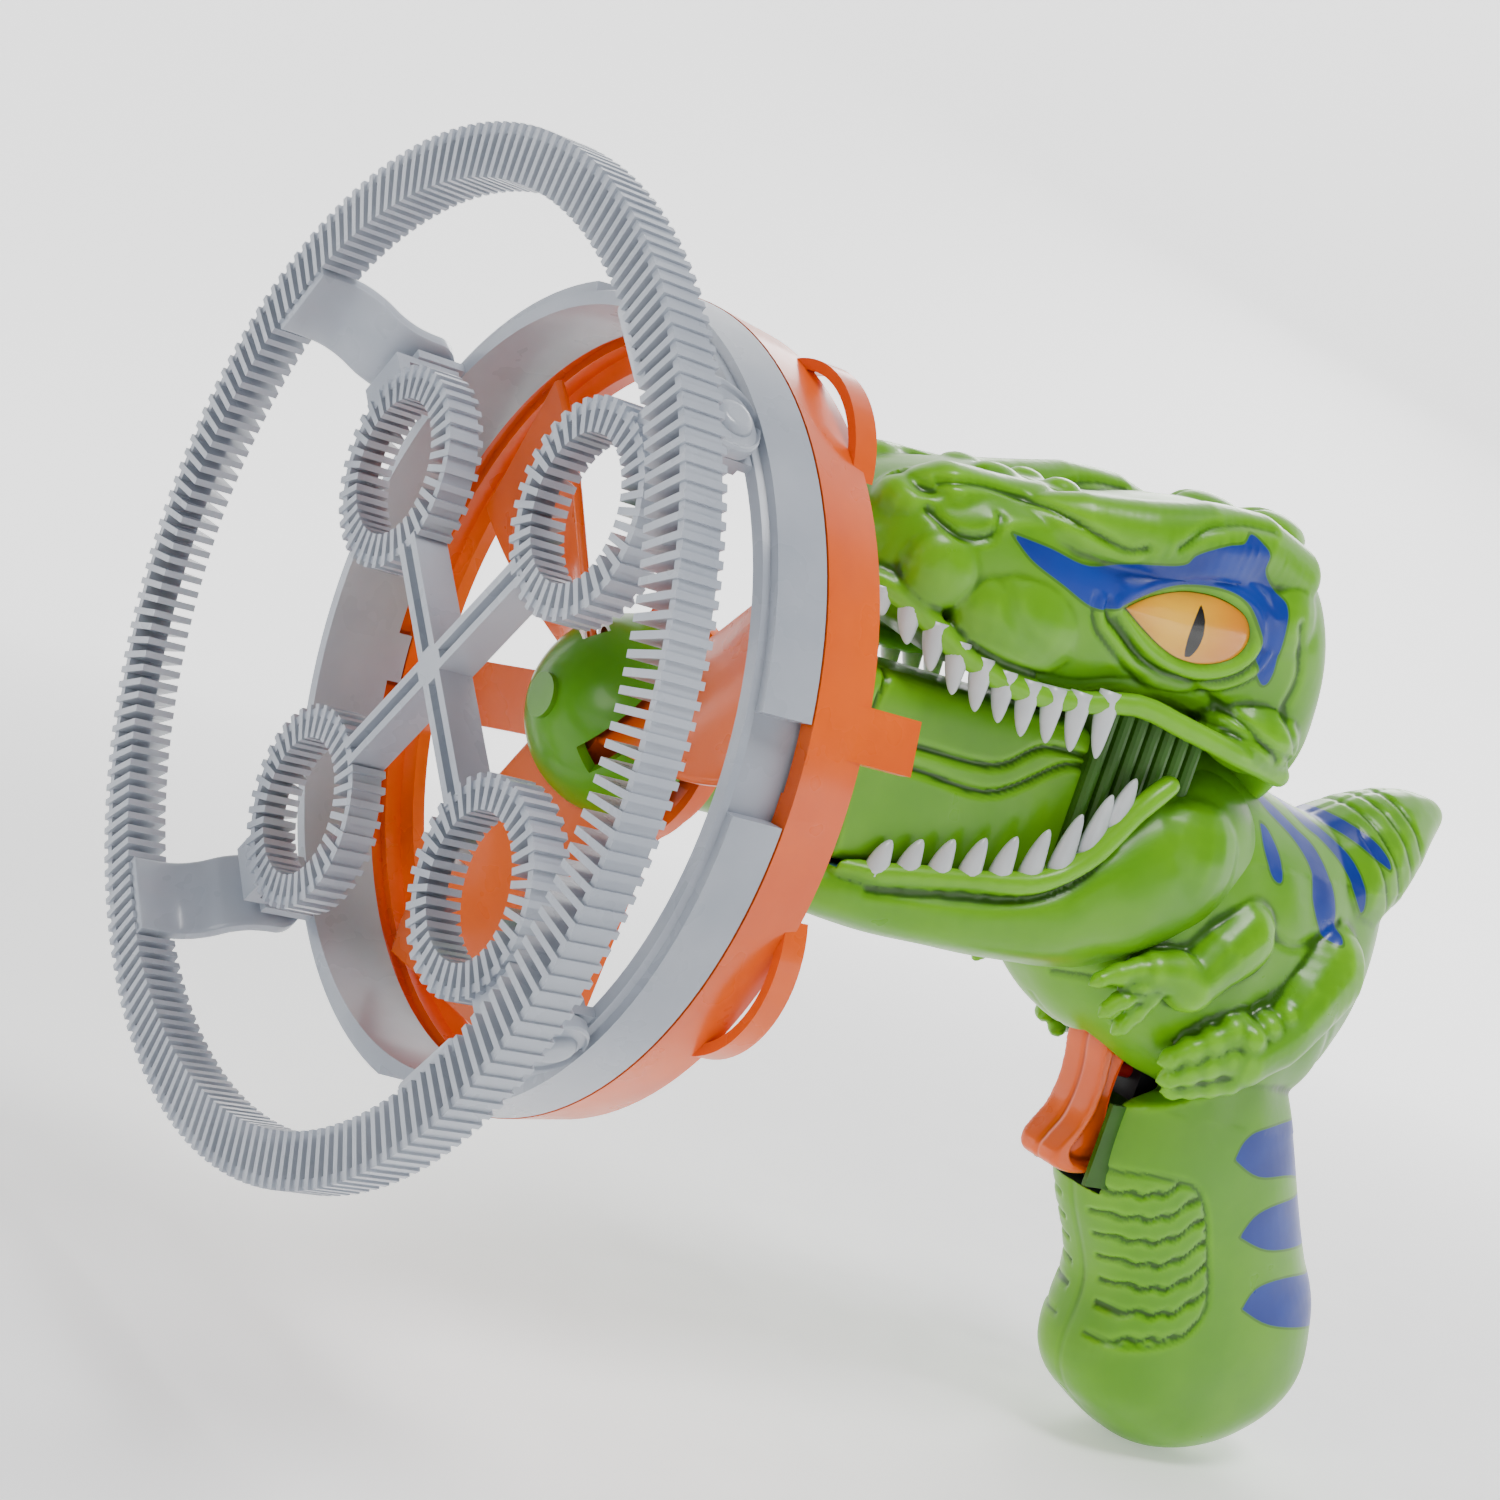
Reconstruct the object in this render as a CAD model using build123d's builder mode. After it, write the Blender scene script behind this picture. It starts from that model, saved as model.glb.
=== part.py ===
"""A hand-held dinosaur bubble machine with a fan, as an assembly of separate pieces.

Millimetres. +Z is up, -Y is the way the air blows, +X is the dinosaur's left side.
The origin is on the fan's axis, in the plane of the fan shroud's front rim.
"""
import os
from math import cos, hypot, radians, sin

from build123d import *

os.makedirs("parts", exist_ok=True)

# ---------------------------------------------------------------- driving dimensions
ring_outer_r = 80.0  # big bubble ring, outside of its ribs
ring_inner_r = 71.5
ring_front_y = -36.4
ring_width = 6.9
ring_ribs = 192
rib_thick = 1.1
hoop_outer_r = 79.6  # thin hoop that carries the ribs
hoop_inner_r = 78.3
hoop_inset = 0.5  # how far the hoop lies behind the ribs' front edges
hoop_width = 5.9

small_ring_r = 16.6  # small bubble rings on the cross
small_ring_inner_r = 11.1
small_ring_ribs = 38
small_hoop_r = 15.9
small_hoop_thick = 1.3
small_ring_reach = 39.6  # distance of a small ring's centre from the axis
cross_front_y = -23.4
cross_width = 6.0
spoke_width = 4.6
spoke_groove = 1.8

arm_count = 4
arm_start = 49.6  # angle of the first arm about the fan's axis, from +X towards +Z
arm_wide = 15.0
arm_thick = 1.8
rivet_y = -13.4
rivet_hole_r = 1.6
rivet_head_r = 3.3
rivet_head_tall = 1.9

collar_inner_r = 60.4  # sleeve that slides into the shroud
sleeve_thick = 1.4
collar_front_y = -9.5
band_front_y = -8.4
band_rear_y = -0.3
band_front_r = 64.6
band_rear_r = 65.3
sleeve_rear_y = 3.6
notch_start = 5.0
notch_wide_deg = 13.0
key_rear_y = 6.2

shroud_front_r = 65.4
shroud_rear_r = 64.2
shroud_rear_y = 10.4
socket_r = 62.1  # bore that takes the sleeve
socket_depth = 6.6
shroud_inner_r = 60.6
grille_thick = 2.2
hub_outer_r = 16.8
hub_front_y = 18.6
hub_rear_y = 23.0
strut_start = 10.0
strut_wide = 11.0
loop_angles = (-26.0, 60.0, 154.0, 244.0)
loop_centre_r = 50.4
loop_r = 18.0
loop_thick = 1.7

fan_tip_r = 57.0
fan_blades = 3
blade_start = 20.0
fan_hub_r = 9.0
dome_r = 16.5
dome_centre_y = 14.0
dome_wall = 1.6

motor_r = 10.0
motor_front_y = 20.5
motor_length = 25.0
motor_wall = 0.8
shaft_r = 1.0
shaft_gap = 0.04

wall = 2.0  # moulded shells
barrel_half_x = 15.0
barrel_low_z = -13.0
barrel_high_z = 20.0
barrel_front_y = 44.0
barrel_rear_y = 106.0
barrel_seam_z = 7.0
neck_outer_r = 12.0
neck_inner_r = 10.4

grip_top = (0.0, 172.0, -45.0)  # point on the grip's axis at its top
grip_rake = 30.0  # degrees back from straight down

cell_r = 7.1
cell_length = 48.8
cell_count = 3
cell_pitch = 14.3
cell_top = 7.0  # along the grip from its top
terminal_tall = 1.2
cell_middle = -9.0

pivot_y = 139.0
pivot_z = -31.0
pivot_r = 1.5
trigger_half_x = 5.6
slot_half_x = 6.4
tail_top_z = -29.5  # tail of the trigger, under its spring
shelf_z = -19.0
spring_y = 148.0
spring_wire_r = 0.35
plunger_r = 1.6
wire_r = 0.8

screw_shank_r = 1.4
screw_head_r = 2.7
boss_r = 3.8
case_screw_spots = ((118.0, -8.0), (160.0, 4.0), (182.0, -24.0), (209.0, -97.0), (186.2, -109.6))


# ---------------------------------------------------------------- helpers
def across(y):
    """Plane square to the fan's axis at y, drawn with X to the right and Z up."""
    return Plane.XZ.offset(-y)


def around(angle, radius, y):
    """Point at an angle about the fan's axis."""
    return (radius * cos(radians(angle)), y, radius * sin(radians(angle)))


def radial_plane(angle):
    """Plane through the fan's axis: local x runs outward, local y runs along +Y."""
    outward = (cos(radians(angle)), 0, sin(radians(angle)))
    tangent = (-sin(radians(angle)), 0, cos(radians(angle)))
    return Plane(origin=(0, 0, 0), x_dir=outward, z_dir=tangent)


def spun(profile):
    """Solid of revolution about the fan's axis from (radius, y) points."""
    with BuildPart() as turned:
        with BuildSketch(Plane.XY):
            with BuildLine():
                Polyline(*[(radius, y) for radius, y in profile], close=True)
            make_face()
        revolve(axis=Axis.Y)
    return turned.part


def tube_x(y, z, radius, low_x, high_x):
    """Round bar along X."""
    with BuildPart() as bar:
        with BuildSketch(Plane.YZ.offset(low_x)):
            with Locations((y, z)):
                Circle(radius)
        extrude(amount=high_x - low_x)
    return bar.part


def tube_y(x, z, radius, low_y, high_y):
    """Round bar along Y."""
    with BuildPart() as bar:
        with BuildSketch(across(low_y)):
            with Locations((x, z)):
                Circle(radius)
        extrude(amount=-(high_y - low_y))
    return bar.part


def block(low, high):
    """Box between two corners."""
    with BuildPart() as solid:
        middle = [(a + b) / 2 for a, b in zip(low, high)]
        with Locations(tuple(middle)):
            Box(*[b - a for a, b in zip(low, high)])
    return solid.part


def rounded_loft(sections, inset=0.0, corner=0.42):
    """Loft along Y through rounded rectangles given as (y, low z, high z, half width)."""
    with BuildPart() as lofted:
        last = len(sections) - 1
        for k, (y, low, high, half) in enumerate(sections):
            shift = inset if k == 0 else (-inset if k == last else 0.0)
            wide = 2 * (half - inset)
            tall = high - low - 2 * inset
            with BuildSketch(across(y + shift)):
                with Locations((0, (low + high) / 2)):
                    RectangleRounded(wide, tall, corner * min(wide, tall))
        loft()
    return lofted.part


def grip_plane(s):
    """Plane square to the grip at distance s down it: local x is +X, local y runs to the rear."""
    rake = radians(grip_rake)
    down = Vector(0, sin(rake), -cos(rake))
    back = Vector(0, cos(rake), sin(rake))
    origin = Vector(*grip_top) + down * s
    return Plane(origin=origin, x_dir=Vector(1, 0, 0), z_dir=Vector(1, 0, 0).cross(back))


def grip_loft(sections, inset=0.0):
    """Loft down the grip through (s, front t, rear t, half width)."""
    with BuildPart() as lofted:
        last = len(sections) - 1
        for k, (s, front, rear, half) in enumerate(sections):
            wide = 2 * (half - inset)
            deep = rear - front - 2 * inset
            with BuildSketch(grip_plane(s - (inset if k == last else 0))):
                with Locations((0, (front + rear) / 2)):
                    RectangleRounded(wide, deep, 0.40 * min(wide, deep))
        loft()
    return lofted.part


def half_of(solid, side):
    """The left (+X) or right (-X) half of a solid, cut on the middle plane."""
    with BuildPart() as kept:
        add(solid)
        split(bisect_by=Plane.YZ, keep=Keep.TOP if side > 0 else Keep.BOTTOM)
    return kept.part


def save(solid, name):
    """Label a finished piece and write it."""
    solid.label = name
    export_step(solid, f"parts/{name}.step")


def ribbed_ring(outer, inner, ribs, hoop_out, hoop_in, front, width, hoop_front, hoop_wide, centre=(0, 0)):
    """Bubble ring: a thin hoop crossed by radial plates."""
    with BuildPart() as ring:
        with BuildSketch(across(hoop_front)):
            with Locations(centre):
                Circle(hoop_out)
                Circle(hoop_in, mode=Mode.SUBTRACT)
        extrude(amount=-hoop_wide)
        with BuildSketch(across(front)):
            with Locations(centre):
                with PolarLocations((outer + inner) / 2, ribs):
                    Rectangle(outer - inner, rib_thick)
        extrude(amount=-width)
    return ring.part


arm_angles = [arm_start + 360 / arm_count * k for k in range(arm_count)]
notch_angles = [notch_start + 90 * k for k in range(4)]
strut_angles = [strut_start + 90 * k for k in range(4)]
blade_angles = [blade_start + 360 / fan_blades * k for k in range(fan_blades)]
collar_outer_r = collar_inner_r + sleeve_thick


# ---------------------------------------------------------------- wand head
def sector(angle, wide_deg, reach):
    """Triangle that covers one stretch of a ring."""
    half = wide_deg / 2
    near = [(reach * cos(radians(angle + d)), reach * sin(radians(angle + d))) for d in (-half, half)]
    return [(0, 0)] + near


def wand_collar():
    """Sleeve with a front flange, a band in four segments, four ears and four keys."""
    sleeve = spun(
        [
            (collar_inner_r, collar_front_y),
            (collar_inner_r + 2.2, collar_front_y),
            (collar_outer_r + 1.2, band_front_y),
            (collar_outer_r, band_front_y),
            (collar_outer_r, sleeve_rear_y),
            (collar_inner_r, sleeve_rear_y),
        ]
    )
    band = spun(
        [
            (collar_outer_r - 0.2, band_front_y),
            (band_front_r, band_front_y),
            (band_rear_r, band_rear_y),
            (collar_outer_r - 0.2, band_rear_y),
        ]
    )
    with BuildPart() as notches:
        with BuildSketch(across(band_front_y - 5)):
            for angle in notch_angles:
                with BuildLine():
                    Polyline(*sector(angle, notch_wide_deg, 90), close=True)
                make_face()
        extrude(amount=-20)
    with BuildPart() as keys:
        with BuildSketch(across(sleeve_rear_y - 1.0)):
            Circle(collar_outer_r)
            Circle(collar_inner_r, mode=Mode.SUBTRACT)
        extrude(amount=-(key_rear_y - sleeve_rear_y + 1.0))
        with BuildSketch(across(sleeve_rear_y - 1.0)):
            for angle in notch_angles:
                with BuildLine():
                    Polyline(*sector(angle + 2, 8, 90), close=True)
                make_face()
        extrude(amount=-(key_rear_y - sleeve_rear_y + 1.0), mode=Mode.INTERSECT)
    with BuildPart() as ears:
        for angle in arm_angles:
            with BuildSketch(radial_plane(angle)):
                with BuildLine():
                    Polyline(
                        (collar_inner_r, rivet_y - 5.0),
                        (collar_inner_r + 1.6, rivet_y - 5.0),
                        (collar_inner_r + 1.6, collar_front_y + 0.4),
                        (collar_inner_r, collar_front_y + 0.4),
                        close=True,
                    )
                make_face()
            extrude(amount=arm_wide / 2 - 2, both=True)
    with BuildPart() as collar:
        add(sleeve)
        add(band - notches.part)
        add(keys.part)
        add(ears.part)
        add(rivet_holes(), mode=Mode.SUBTRACT)
    return collar.part


def rivet_holes():
    """Four radial bars at the rivets."""
    with BuildPart() as bars:
        for angle in arm_angles:
            outward = (cos(radians(angle)), 0, sin(radians(angle)))
            with BuildSketch(Plane(origin=around(angle, 52, rivet_y), z_dir=outward)):
                Circle(rivet_hole_r)
            extrude(amount=20)
    return bars.part


def wand_arm(angle):
    """Strap from the ear on the collar to the inside of the big ring."""
    foot_r = collar_inner_r + 1.6
    with BuildPart() as arm:
        with BuildSketch(radial_plane(angle)):
            with BuildLine():
                Polyline(
                    (foot_r, collar_front_y - 0.3),
                    (foot_r, rivet_y - 5.5),
                    (ring_inner_r - arm_thick - 0.2, ring_front_y + ring_width - 1.5),
                    (ring_inner_r - arm_thick - 0.2, ring_front_y + 0.6),
                    (ring_inner_r + 0.4, ring_front_y + 0.6),
                    (ring_inner_r + 0.4, ring_front_y + ring_width - 1.0),
                    (foot_r + arm_thick, rivet_y - 4.6),
                    (foot_r + arm_thick, collar_front_y - 0.3),
                    close=True,
                )
            make_face()
        extrude(amount=arm_wide / 2, both=True)
        with BuildSketch(across(ring_front_y - 1)):
            Circle(ring_inner_r - 0.02)
        extrude(amount=-60, mode=Mode.INTERSECT)
        add(rivet_holes(), mode=Mode.SUBTRACT)
        outward = (cos(radians(angle)), 0, sin(radians(angle)))
        corners = arm.edges().filter_by(Axis((0, 0, 0), outward))
        foot_corners = [e for e in corners if e.center().Y > collar_front_y - 1.0]
        fillet(foot_corners, arm_wide / 2 - 1.2)
    return arm.part


def arm_rivets():
    """Four domed rivets, one group."""
    shank_inner = collar_inner_r - 1.5
    head_base = collar_inner_r + 1.6 + arm_thick
    with BuildPart() as rivets:
        for angle in arm_angles:
            outward = (cos(radians(angle)), 0, sin(radians(angle)))
            with BuildSketch(Plane(origin=around(angle, shank_inner, rivet_y), z_dir=outward)):
                Circle(rivet_hole_r)
            extrude(amount=head_base - shank_inner)
            with BuildSketch(Plane(origin=around(angle, head_base, rivet_y), z_dir=outward)):
                Circle(rivet_head_r)
            extrude(amount=rivet_head_tall)
        rims = rivets.edges().filter_by(GeomType.CIRCLE)
        rims = [e for e in rims if e.radius > rivet_head_r - 0.1]
        rims = [e for e in rims if hypot(e.arc_center.X, e.arc_center.Z) > head_base + 0.5]
        fillet(rims, rivet_head_tall - 0.3)
    return rivets.part


def wand_cross():
    """One moulding: four channelled spokes, four small ribbed rings and four feet."""
    spoke_end = small_ring_reach - small_hoop_r + 0.8
    foot_out = collar_inner_r - 0.05
    with BuildPart() as cross:
        with BuildSketch(across(cross_front_y)):
            with Locations(*[Location((0, 0), angle) for angle in arm_angles]):
                with Locations((spoke_end / 2, 0)):
                    Rectangle(spoke_end, spoke_width)
        extrude(amount=-cross_width)
        with BuildSketch(across(cross_front_y)):
            with Locations(*[Location((0, 0), angle) for angle in arm_angles]):
                with Locations((spoke_end / 2 + 1.5, 0)):
                    Rectangle(spoke_end - 3, spoke_groove)
        extrude(amount=-2.0, mode=Mode.SUBTRACT)
        for angle in arm_angles:
            centre = (small_ring_reach * cos(radians(angle)), small_ring_reach * sin(radians(angle)))
            add(
                ribbed_ring(
                    small_ring_r,
                    small_ring_inner_r,
                    small_ring_ribs,
                    small_hoop_r,
                    small_hoop_r - small_hoop_thick,
                    cross_front_y,
                    cross_width,
                    cross_front_y + 0.4,
                    cross_width - 0.8,
                    centre,
                )
            )
            with BuildSketch(radial_plane(angle)):
                with BuildLine():
                    Polyline(
                        (small_ring_reach + small_hoop_r - 0.6, cross_front_y + 1.0),
                        (foot_out, cross_front_y + 1.0),
                        (foot_out, rivet_y + 2.8),
                        (foot_out - 1.4, rivet_y + 2.8),
                        (foot_out - 1.4, cross_front_y + 3.2),
                        (small_ring_reach + small_hoop_r - 0.6, cross_front_y + 3.2),
                        close=True,
                    )
                make_face()
            extrude(amount=5.0, both=True)
        add(rivet_holes(), mode=Mode.SUBTRACT)
    return cross.part


# ---------------------------------------------------------------- fan
def fan_shroud():
    """Short drum with a sleeve socket, a conical grille of four struts and a motor cup."""
    drum = spun(
        [
            (socket_r, 0),
            (shroud_front_r, 0),
            (shroud_rear_r, shroud_rear_y),
            (shroud_rear_r - 2.0, shroud_rear_y + 1.2),
            (hub_outer_r, hub_front_y + grille_thick),
            (hub_outer_r, hub_rear_y),
            (motor_r + 0.1, hub_rear_y),
            (motor_r + 0.1, hub_front_y + 1.9),
            (4.0, hub_front_y + 1.9),
            (4.0, hub_front_y),
            (hub_outer_r, hub_front_y),
            (shroud_inner_r, shroud_rear_y - 0.8),
            (shroud_inner_r, socket_depth),
            (socket_r, socket_depth),
        ]
    )
    window_outer = 57.5
    window_inner = hub_outer_r + 2.2
    with BuildPart() as windows:
        with BuildSketch(across(shroud_rear_y - 3)):
            Circle(window_outer)
            Circle(window_inner, mode=Mode.SUBTRACT)
            with Locations(*[Location((0, 0), angle) for angle in strut_angles]):
                with Locations((40, 0)):
                    Rectangle(80, strut_wide, mode=Mode.SUBTRACT)
        extrude(amount=-20)
        upright = windows.edges().filter_by(Axis.Y)
        fillet(upright, 3.0)
    with BuildPart() as key_slots:
        with BuildSketch(across(-1)):
            Circle(socket_r + 0.5)
            Circle(collar_inner_r - 1, mode=Mode.SUBTRACT)
        extrude(amount=-(socket_depth + 1))
        with BuildSketch(across(-1)):
            for angle in notch_angles:
                with BuildLine():
                    Polyline(*sector(angle + 2, 9, 90), close=True)
                make_face()
        extrude(amount=-(socket_depth + 1), mode=Mode.INTERSECT)
    with BuildPart() as shroud:
        add(drum)
        add(windows.part, mode=Mode.SUBTRACT)
        add(key_slots.part, mode=Mode.SUBTRACT)
        for angle in strut_angles:
            with BuildSketch(radial_plane(angle)):
                with BuildLine():
                    Polyline(
                        (hub_outer_r + 1, hub_front_y + 3.4),
                        (shroud_inner_r, shroud_rear_y + 3.0),
                        (shroud_inner_r, shroud_rear_y + 0.6),
                        (hub_outer_r + 1, hub_front_y + 0.8),
                        close=True,
                    )
                make_face()
            extrude(amount=1.4, both=True)
        with BuildSketch(across(shroud_rear_y - 4)):
            with Locations(Location((0, 0), 12)):
                with Locations((shroud_rear_r - 1.0, 0)):
                    Rectangle(2.4, 8)
        extrude(amount=-(19.6 - shroud_rear_y + 4))
        for angle in loop_angles:
            with BuildSketch(across(shroud_rear_y - 2.0)):
                with Locations(around2(angle, loop_centre_r)):
                    Circle(loop_r)
                    Circle(loop_r - loop_thick, mode=Mode.SUBTRACT)
                Circle(shroud_rear_r - 0.8, mode=Mode.SUBTRACT)
            extrude(amount=-4.0)
        for angle in (45, 225):
            with Locations(Plane(origin=around(angle, 7.0, hub_front_y - 1), z_dir=(0, 1, 0))):
                Hole(1.1)
    return shroud.part


def around2(angle, radius):
    """Point at an angle in a plane square to the fan's axis."""
    return (radius * cos(radians(angle)), radius * sin(radians(angle)))


def fan_blade(angle):
    """One wide twisted blade, lofted outward from inside the hub."""
    stations = (
        (fan_hub_r - 2, 9.4, 17.0, 38.0),
        (22.0, 8.2, 26.0, 28.0),
        (40.0, 6.2, 34.0, 18.0),
        (fan_tip_r - 3, 4.8, 33.0, 12.0),
    )
    outward = (cos(radians(angle)), 0, sin(radians(angle)))
    tangent = Vector(-sin(radians(angle)), 0, cos(radians(angle)))
    with BuildPart() as blade:
        for radius, y, chord, pitch in stations:
            lean = tangent * cos(radians(pitch)) + Vector(0, 1, 0) * sin(radians(pitch))
            with BuildSketch(Plane(origin=around(angle, radius, y), x_dir=lean, z_dir=outward)):
                RectangleRounded(chord, 1.6, 0.7)
        loft()
    return blade.part


def fan_impeller():
    """Hub and three wide twisted blades."""
    with BuildPart() as impeller:
        with BuildSketch(across(4.0)):
            Circle(fan_hub_r)
        extrude(amount=-13.0)
        for angle in blade_angles:
            add(fan_blade(angle))
        with BuildSketch(across(0)):
            Circle(80)
            Circle(fan_tip_r, mode=Mode.SUBTRACT)
        extrude(amount=-20, mode=Mode.SUBTRACT)
        with BuildSketch(across(0)):
            Circle(shaft_r)
        extrude(amount=-30, mode=Mode.SUBTRACT)
    return impeller.part


def fan_spinner():
    """Domed nose cap over the impeller's hub, open at the back, with scallops for the blades."""
    inner_r = dome_r - dome_wall
    with BuildPart() as dome:
        with BuildSketch(Plane.XY):
            with BuildLine():
                CenterArc((0, dome_centre_y), dome_r, -90, 90)
                Line((dome_r, dome_centre_y), (dome_r, dome_centre_y + 2.4))
                Line((dome_r, dome_centre_y + 2.4), (inner_r, dome_centre_y + 2.4))
                Line((inner_r, dome_centre_y + 2.4), (inner_r, dome_centre_y))
                CenterArc((0, dome_centre_y), inner_r, 0, -90)
                Line((0, dome_centre_y - inner_r), (0, dome_centre_y - dome_r))
            make_face()
        revolve(axis=Axis.Y)
        with BuildSketch(across(dome_centre_y - dome_r - 0.5)):
            Circle(3.6)
        extrude(amount=-3.0)
        with BuildSketch(across(dome_centre_y - inner_r - 1)):
            Circle(3.0)
        extrude(amount=-(4.0 - dome_centre_y + inner_r + 1))
    with BuildPart() as spinner:
        add(dome.part)
        for angle in blade_angles:
            outward = (cos(radians(angle)), 0, sin(radians(angle)))
            tangent = Vector(-sin(radians(angle)), 0, cos(radians(angle)))
            lean = tangent * cos(radians(34)) + Vector(0, 1, 0) * sin(radians(34))
            with BuildSketch(Plane(origin=around(angle, 6, 9.0), x_dir=lean, z_dir=outward)):
                with Locations((4, 0)):
                    Rectangle(40, 4.4)
            extrude(amount=20, mode=Mode.SUBTRACT)
    solid = spinner.part.solids().sort_by(SortBy.VOLUME)[-1]
    return Part() + solid


def motor_pieces():
    """Can, end cap, front bush, shaft and armature of the little motor."""
    rear = motor_front_y + motor_length
    can = spun(
        [
            (3.0, motor_front_y),
            (motor_r, motor_front_y),
            (motor_r, rear - 2.5),
            (motor_r - motor_wall, rear - 2.5),
            (motor_r - motor_wall, motor_front_y + motor_wall),
            (3.0, motor_front_y + motor_wall),
        ]
    )
    cap = spun(
        [
            (shaft_r + shaft_gap, rear - 5.0),
            (motor_r - motor_wall - 0.05, rear - 5.0),
            (motor_r - motor_wall - 0.05, rear - 2.5),
            (motor_r, rear - 2.5),
            (motor_r, rear),
            (shaft_r + shaft_gap, rear),
        ]
    )
    bush = spun(
        [
            (shaft_r + shaft_gap, motor_front_y - 1.4),
            (3.0, motor_front_y - 1.4),
            (3.0, motor_front_y + 2.0),
            (shaft_r + shaft_gap, motor_front_y + 2.0),
        ]
    )
    shaft = tube_y(0, 0, shaft_r, 4.5, rear + 0.8)
    with BuildPart() as armature:
        with BuildSketch(across(motor_front_y + 4)):
            Circle(6.4)
            with PolarLocations(5.6, 3):
                Rectangle(3.4, 1.4, mode=Mode.SUBTRACT)
            Circle(shaft_r, mode=Mode.SUBTRACT)
        extrude(amount=-12)
    with BuildPart() as magnets:
        with BuildSketch(across(motor_front_y + 3)):
            Circle(motor_r - motor_wall - 0.05)
            Circle(7.0, mode=Mode.SUBTRACT)
            Rectangle(30, 6, mode=Mode.SUBTRACT)
        extrude(amount=-15)
    return can, cap, bush, shaft, armature.part, magnets.part


def motor_screws():
    """Two short screws that hold the motor to the cup in the shroud."""
    with BuildPart() as screws:
        for angle in (45, 225):
            x, z = around2(angle, 7.0)
            add(tube_y(x, z, 1.0, hub_front_y, motor_front_y - 0.1))
            add(tube_y(x, z, 1.9, hub_front_y - 1.2, hub_front_y))
    return screws.part


# ---------------------------------------------------------------- shells of the dinosaur
head_sections = (
    (34.0, 33.0, 43.0, 9.0),
    (42.0, 29.0, 49.0, 16.0),
    (56.0, 26.0, 54.5, 20.0),
    (74.0, 22.5, 57.5, 22.5),
    (92.0, 23.0, 60.5, 25.0),
    (108.0, 26.0, 63.5, 26.5),
    (124.0, 24.0, 64.5, 26.0),
    (136.0, 16.0, 58.0, 23.5),
    (145.0, 10.0, 40.0, 19.0),
)
jaw_sections = (
    (42.0, -20.5, -13.0, 9.0),
    (52.0, -23.0, -11.0, 14.5),
    (68.0, -24.4, -9.0, 18.5),
    (86.0, -24.4, -6.0, 21.0),
    (100.0, -24.4, 4.0, 23.0),
    (116.0, -24.0, 15.0, 24.0),
    (132.0, -21.0, 22.0, 23.0),
    (146.0, -8.0, 16.0, 17.0),
)
torso_sections = (
    (106.0, -22.0, 18.0, 15.0),
    (118.0, -31.0, 22.0, 19.0),
    (136.0, -38.0, 23.0, 21.0),
    (156.0, -43.0, 18.0, 21.0),
    (176.0, -46.0, 15.0, 18.0),
    (189.0, -36.0, 12.0, 13.0),
    (195.0, -20.0, 6.0, 6.0),
)
grip_sections = (
    (-14.0, -22.0, 12.0, 15.0),
    (4.0, -33.5, 15.4, 15.5),
    (24.0, -33.8, 15.8, 15.5),
    (36.0, -41.0, 16.6, 16.5),
    (50.0, -38.5, 18.0, 17.0),
    (61.0, -31.0, 15.4, 15.8),
    (69.6, -17.0, 6.0, 9.0),
)
tail_tip = (0.0, 205.5, 22.8)


def tail_solid():
    """Short blunt tail that turns up behind the back."""
    spots = (
        ((0, 178.0, 1.0), (0, 1.0, 0.25), 15.0, 14.0),
        ((0, 190.0, 7.0), (0, 1.0, 0.6), 12.0, 11.0),
        ((0, 197.5, 14.0), (0, 1.0, 0.9), 8.0, 8.0),
        ((0, 203.0, 19.5), (0, 1.0, 0.9), 4.6, 4.4),
        (tail_tip, (0, 1.0, 0.9), 1.6, 1.6),
    )
    with BuildPart() as tail:
        for spot, heading, half_x, half_z in spots:
            with BuildSketch(Plane(origin=spot, x_dir=(1, 0, 0), z_dir=heading)):
                Ellipse(half_x, half_z)
        loft()
    return tail.part


def limb_solids():
    """Small arms and legs in relief on both flanks."""
    arm_beads = ((18.0, 141.0, -9.0, 7.0), (20.0, 133.0, -19.0, 5.4), (19.0, 125.0, -19.5, 4.4))
    leg_beads = ((16.0, 168.0, -14.0, 11.0), (17.0, 160.0, -28.0, 7.5), (15.0, 150.0, -35.0, 6.0))
    with BuildPart() as limbs:
        for side in (-1, 1):
            for x, y, z, radius in arm_beads + leg_beads:
                with Locations((side * x, y, z)):
                    Sphere(radius)
    return limbs.part


def grip_box(s_low, s_high, t_low, t_high, x_low, x_high):
    """Box whose sides follow the grip's rake."""
    with BuildPart() as box:
        with BuildSketch(grip_plane(s_low)):
            with Locations(((x_low + x_high) / 2, (t_low + t_high) / 2)):
                Rectangle(x_high - x_low, t_high - t_low)
        extrude(amount=s_low - s_high)
    return box.part


def barrel_outer(clear=0.0):
    """Flat-sided pod in the open mouth, with a round neck round the motor."""
    with BuildPart() as pod:
        with BuildSketch(across(barrel_front_y)):
            with Locations((0, (barrel_low_z + barrel_high_z) / 2)):
                RectangleRounded(
                    2 * (barrel_half_x + clear), barrel_high_z - barrel_low_z + 2 * clear, 5.0
                )
        extrude(amount=-(barrel_rear_y - barrel_front_y))
        with BuildSketch(across(hub_rear_y)):
            Circle(neck_outer_r + clear)
        extrude(amount=-(barrel_front_y - hub_rear_y + 4))
    return pod.part


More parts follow.
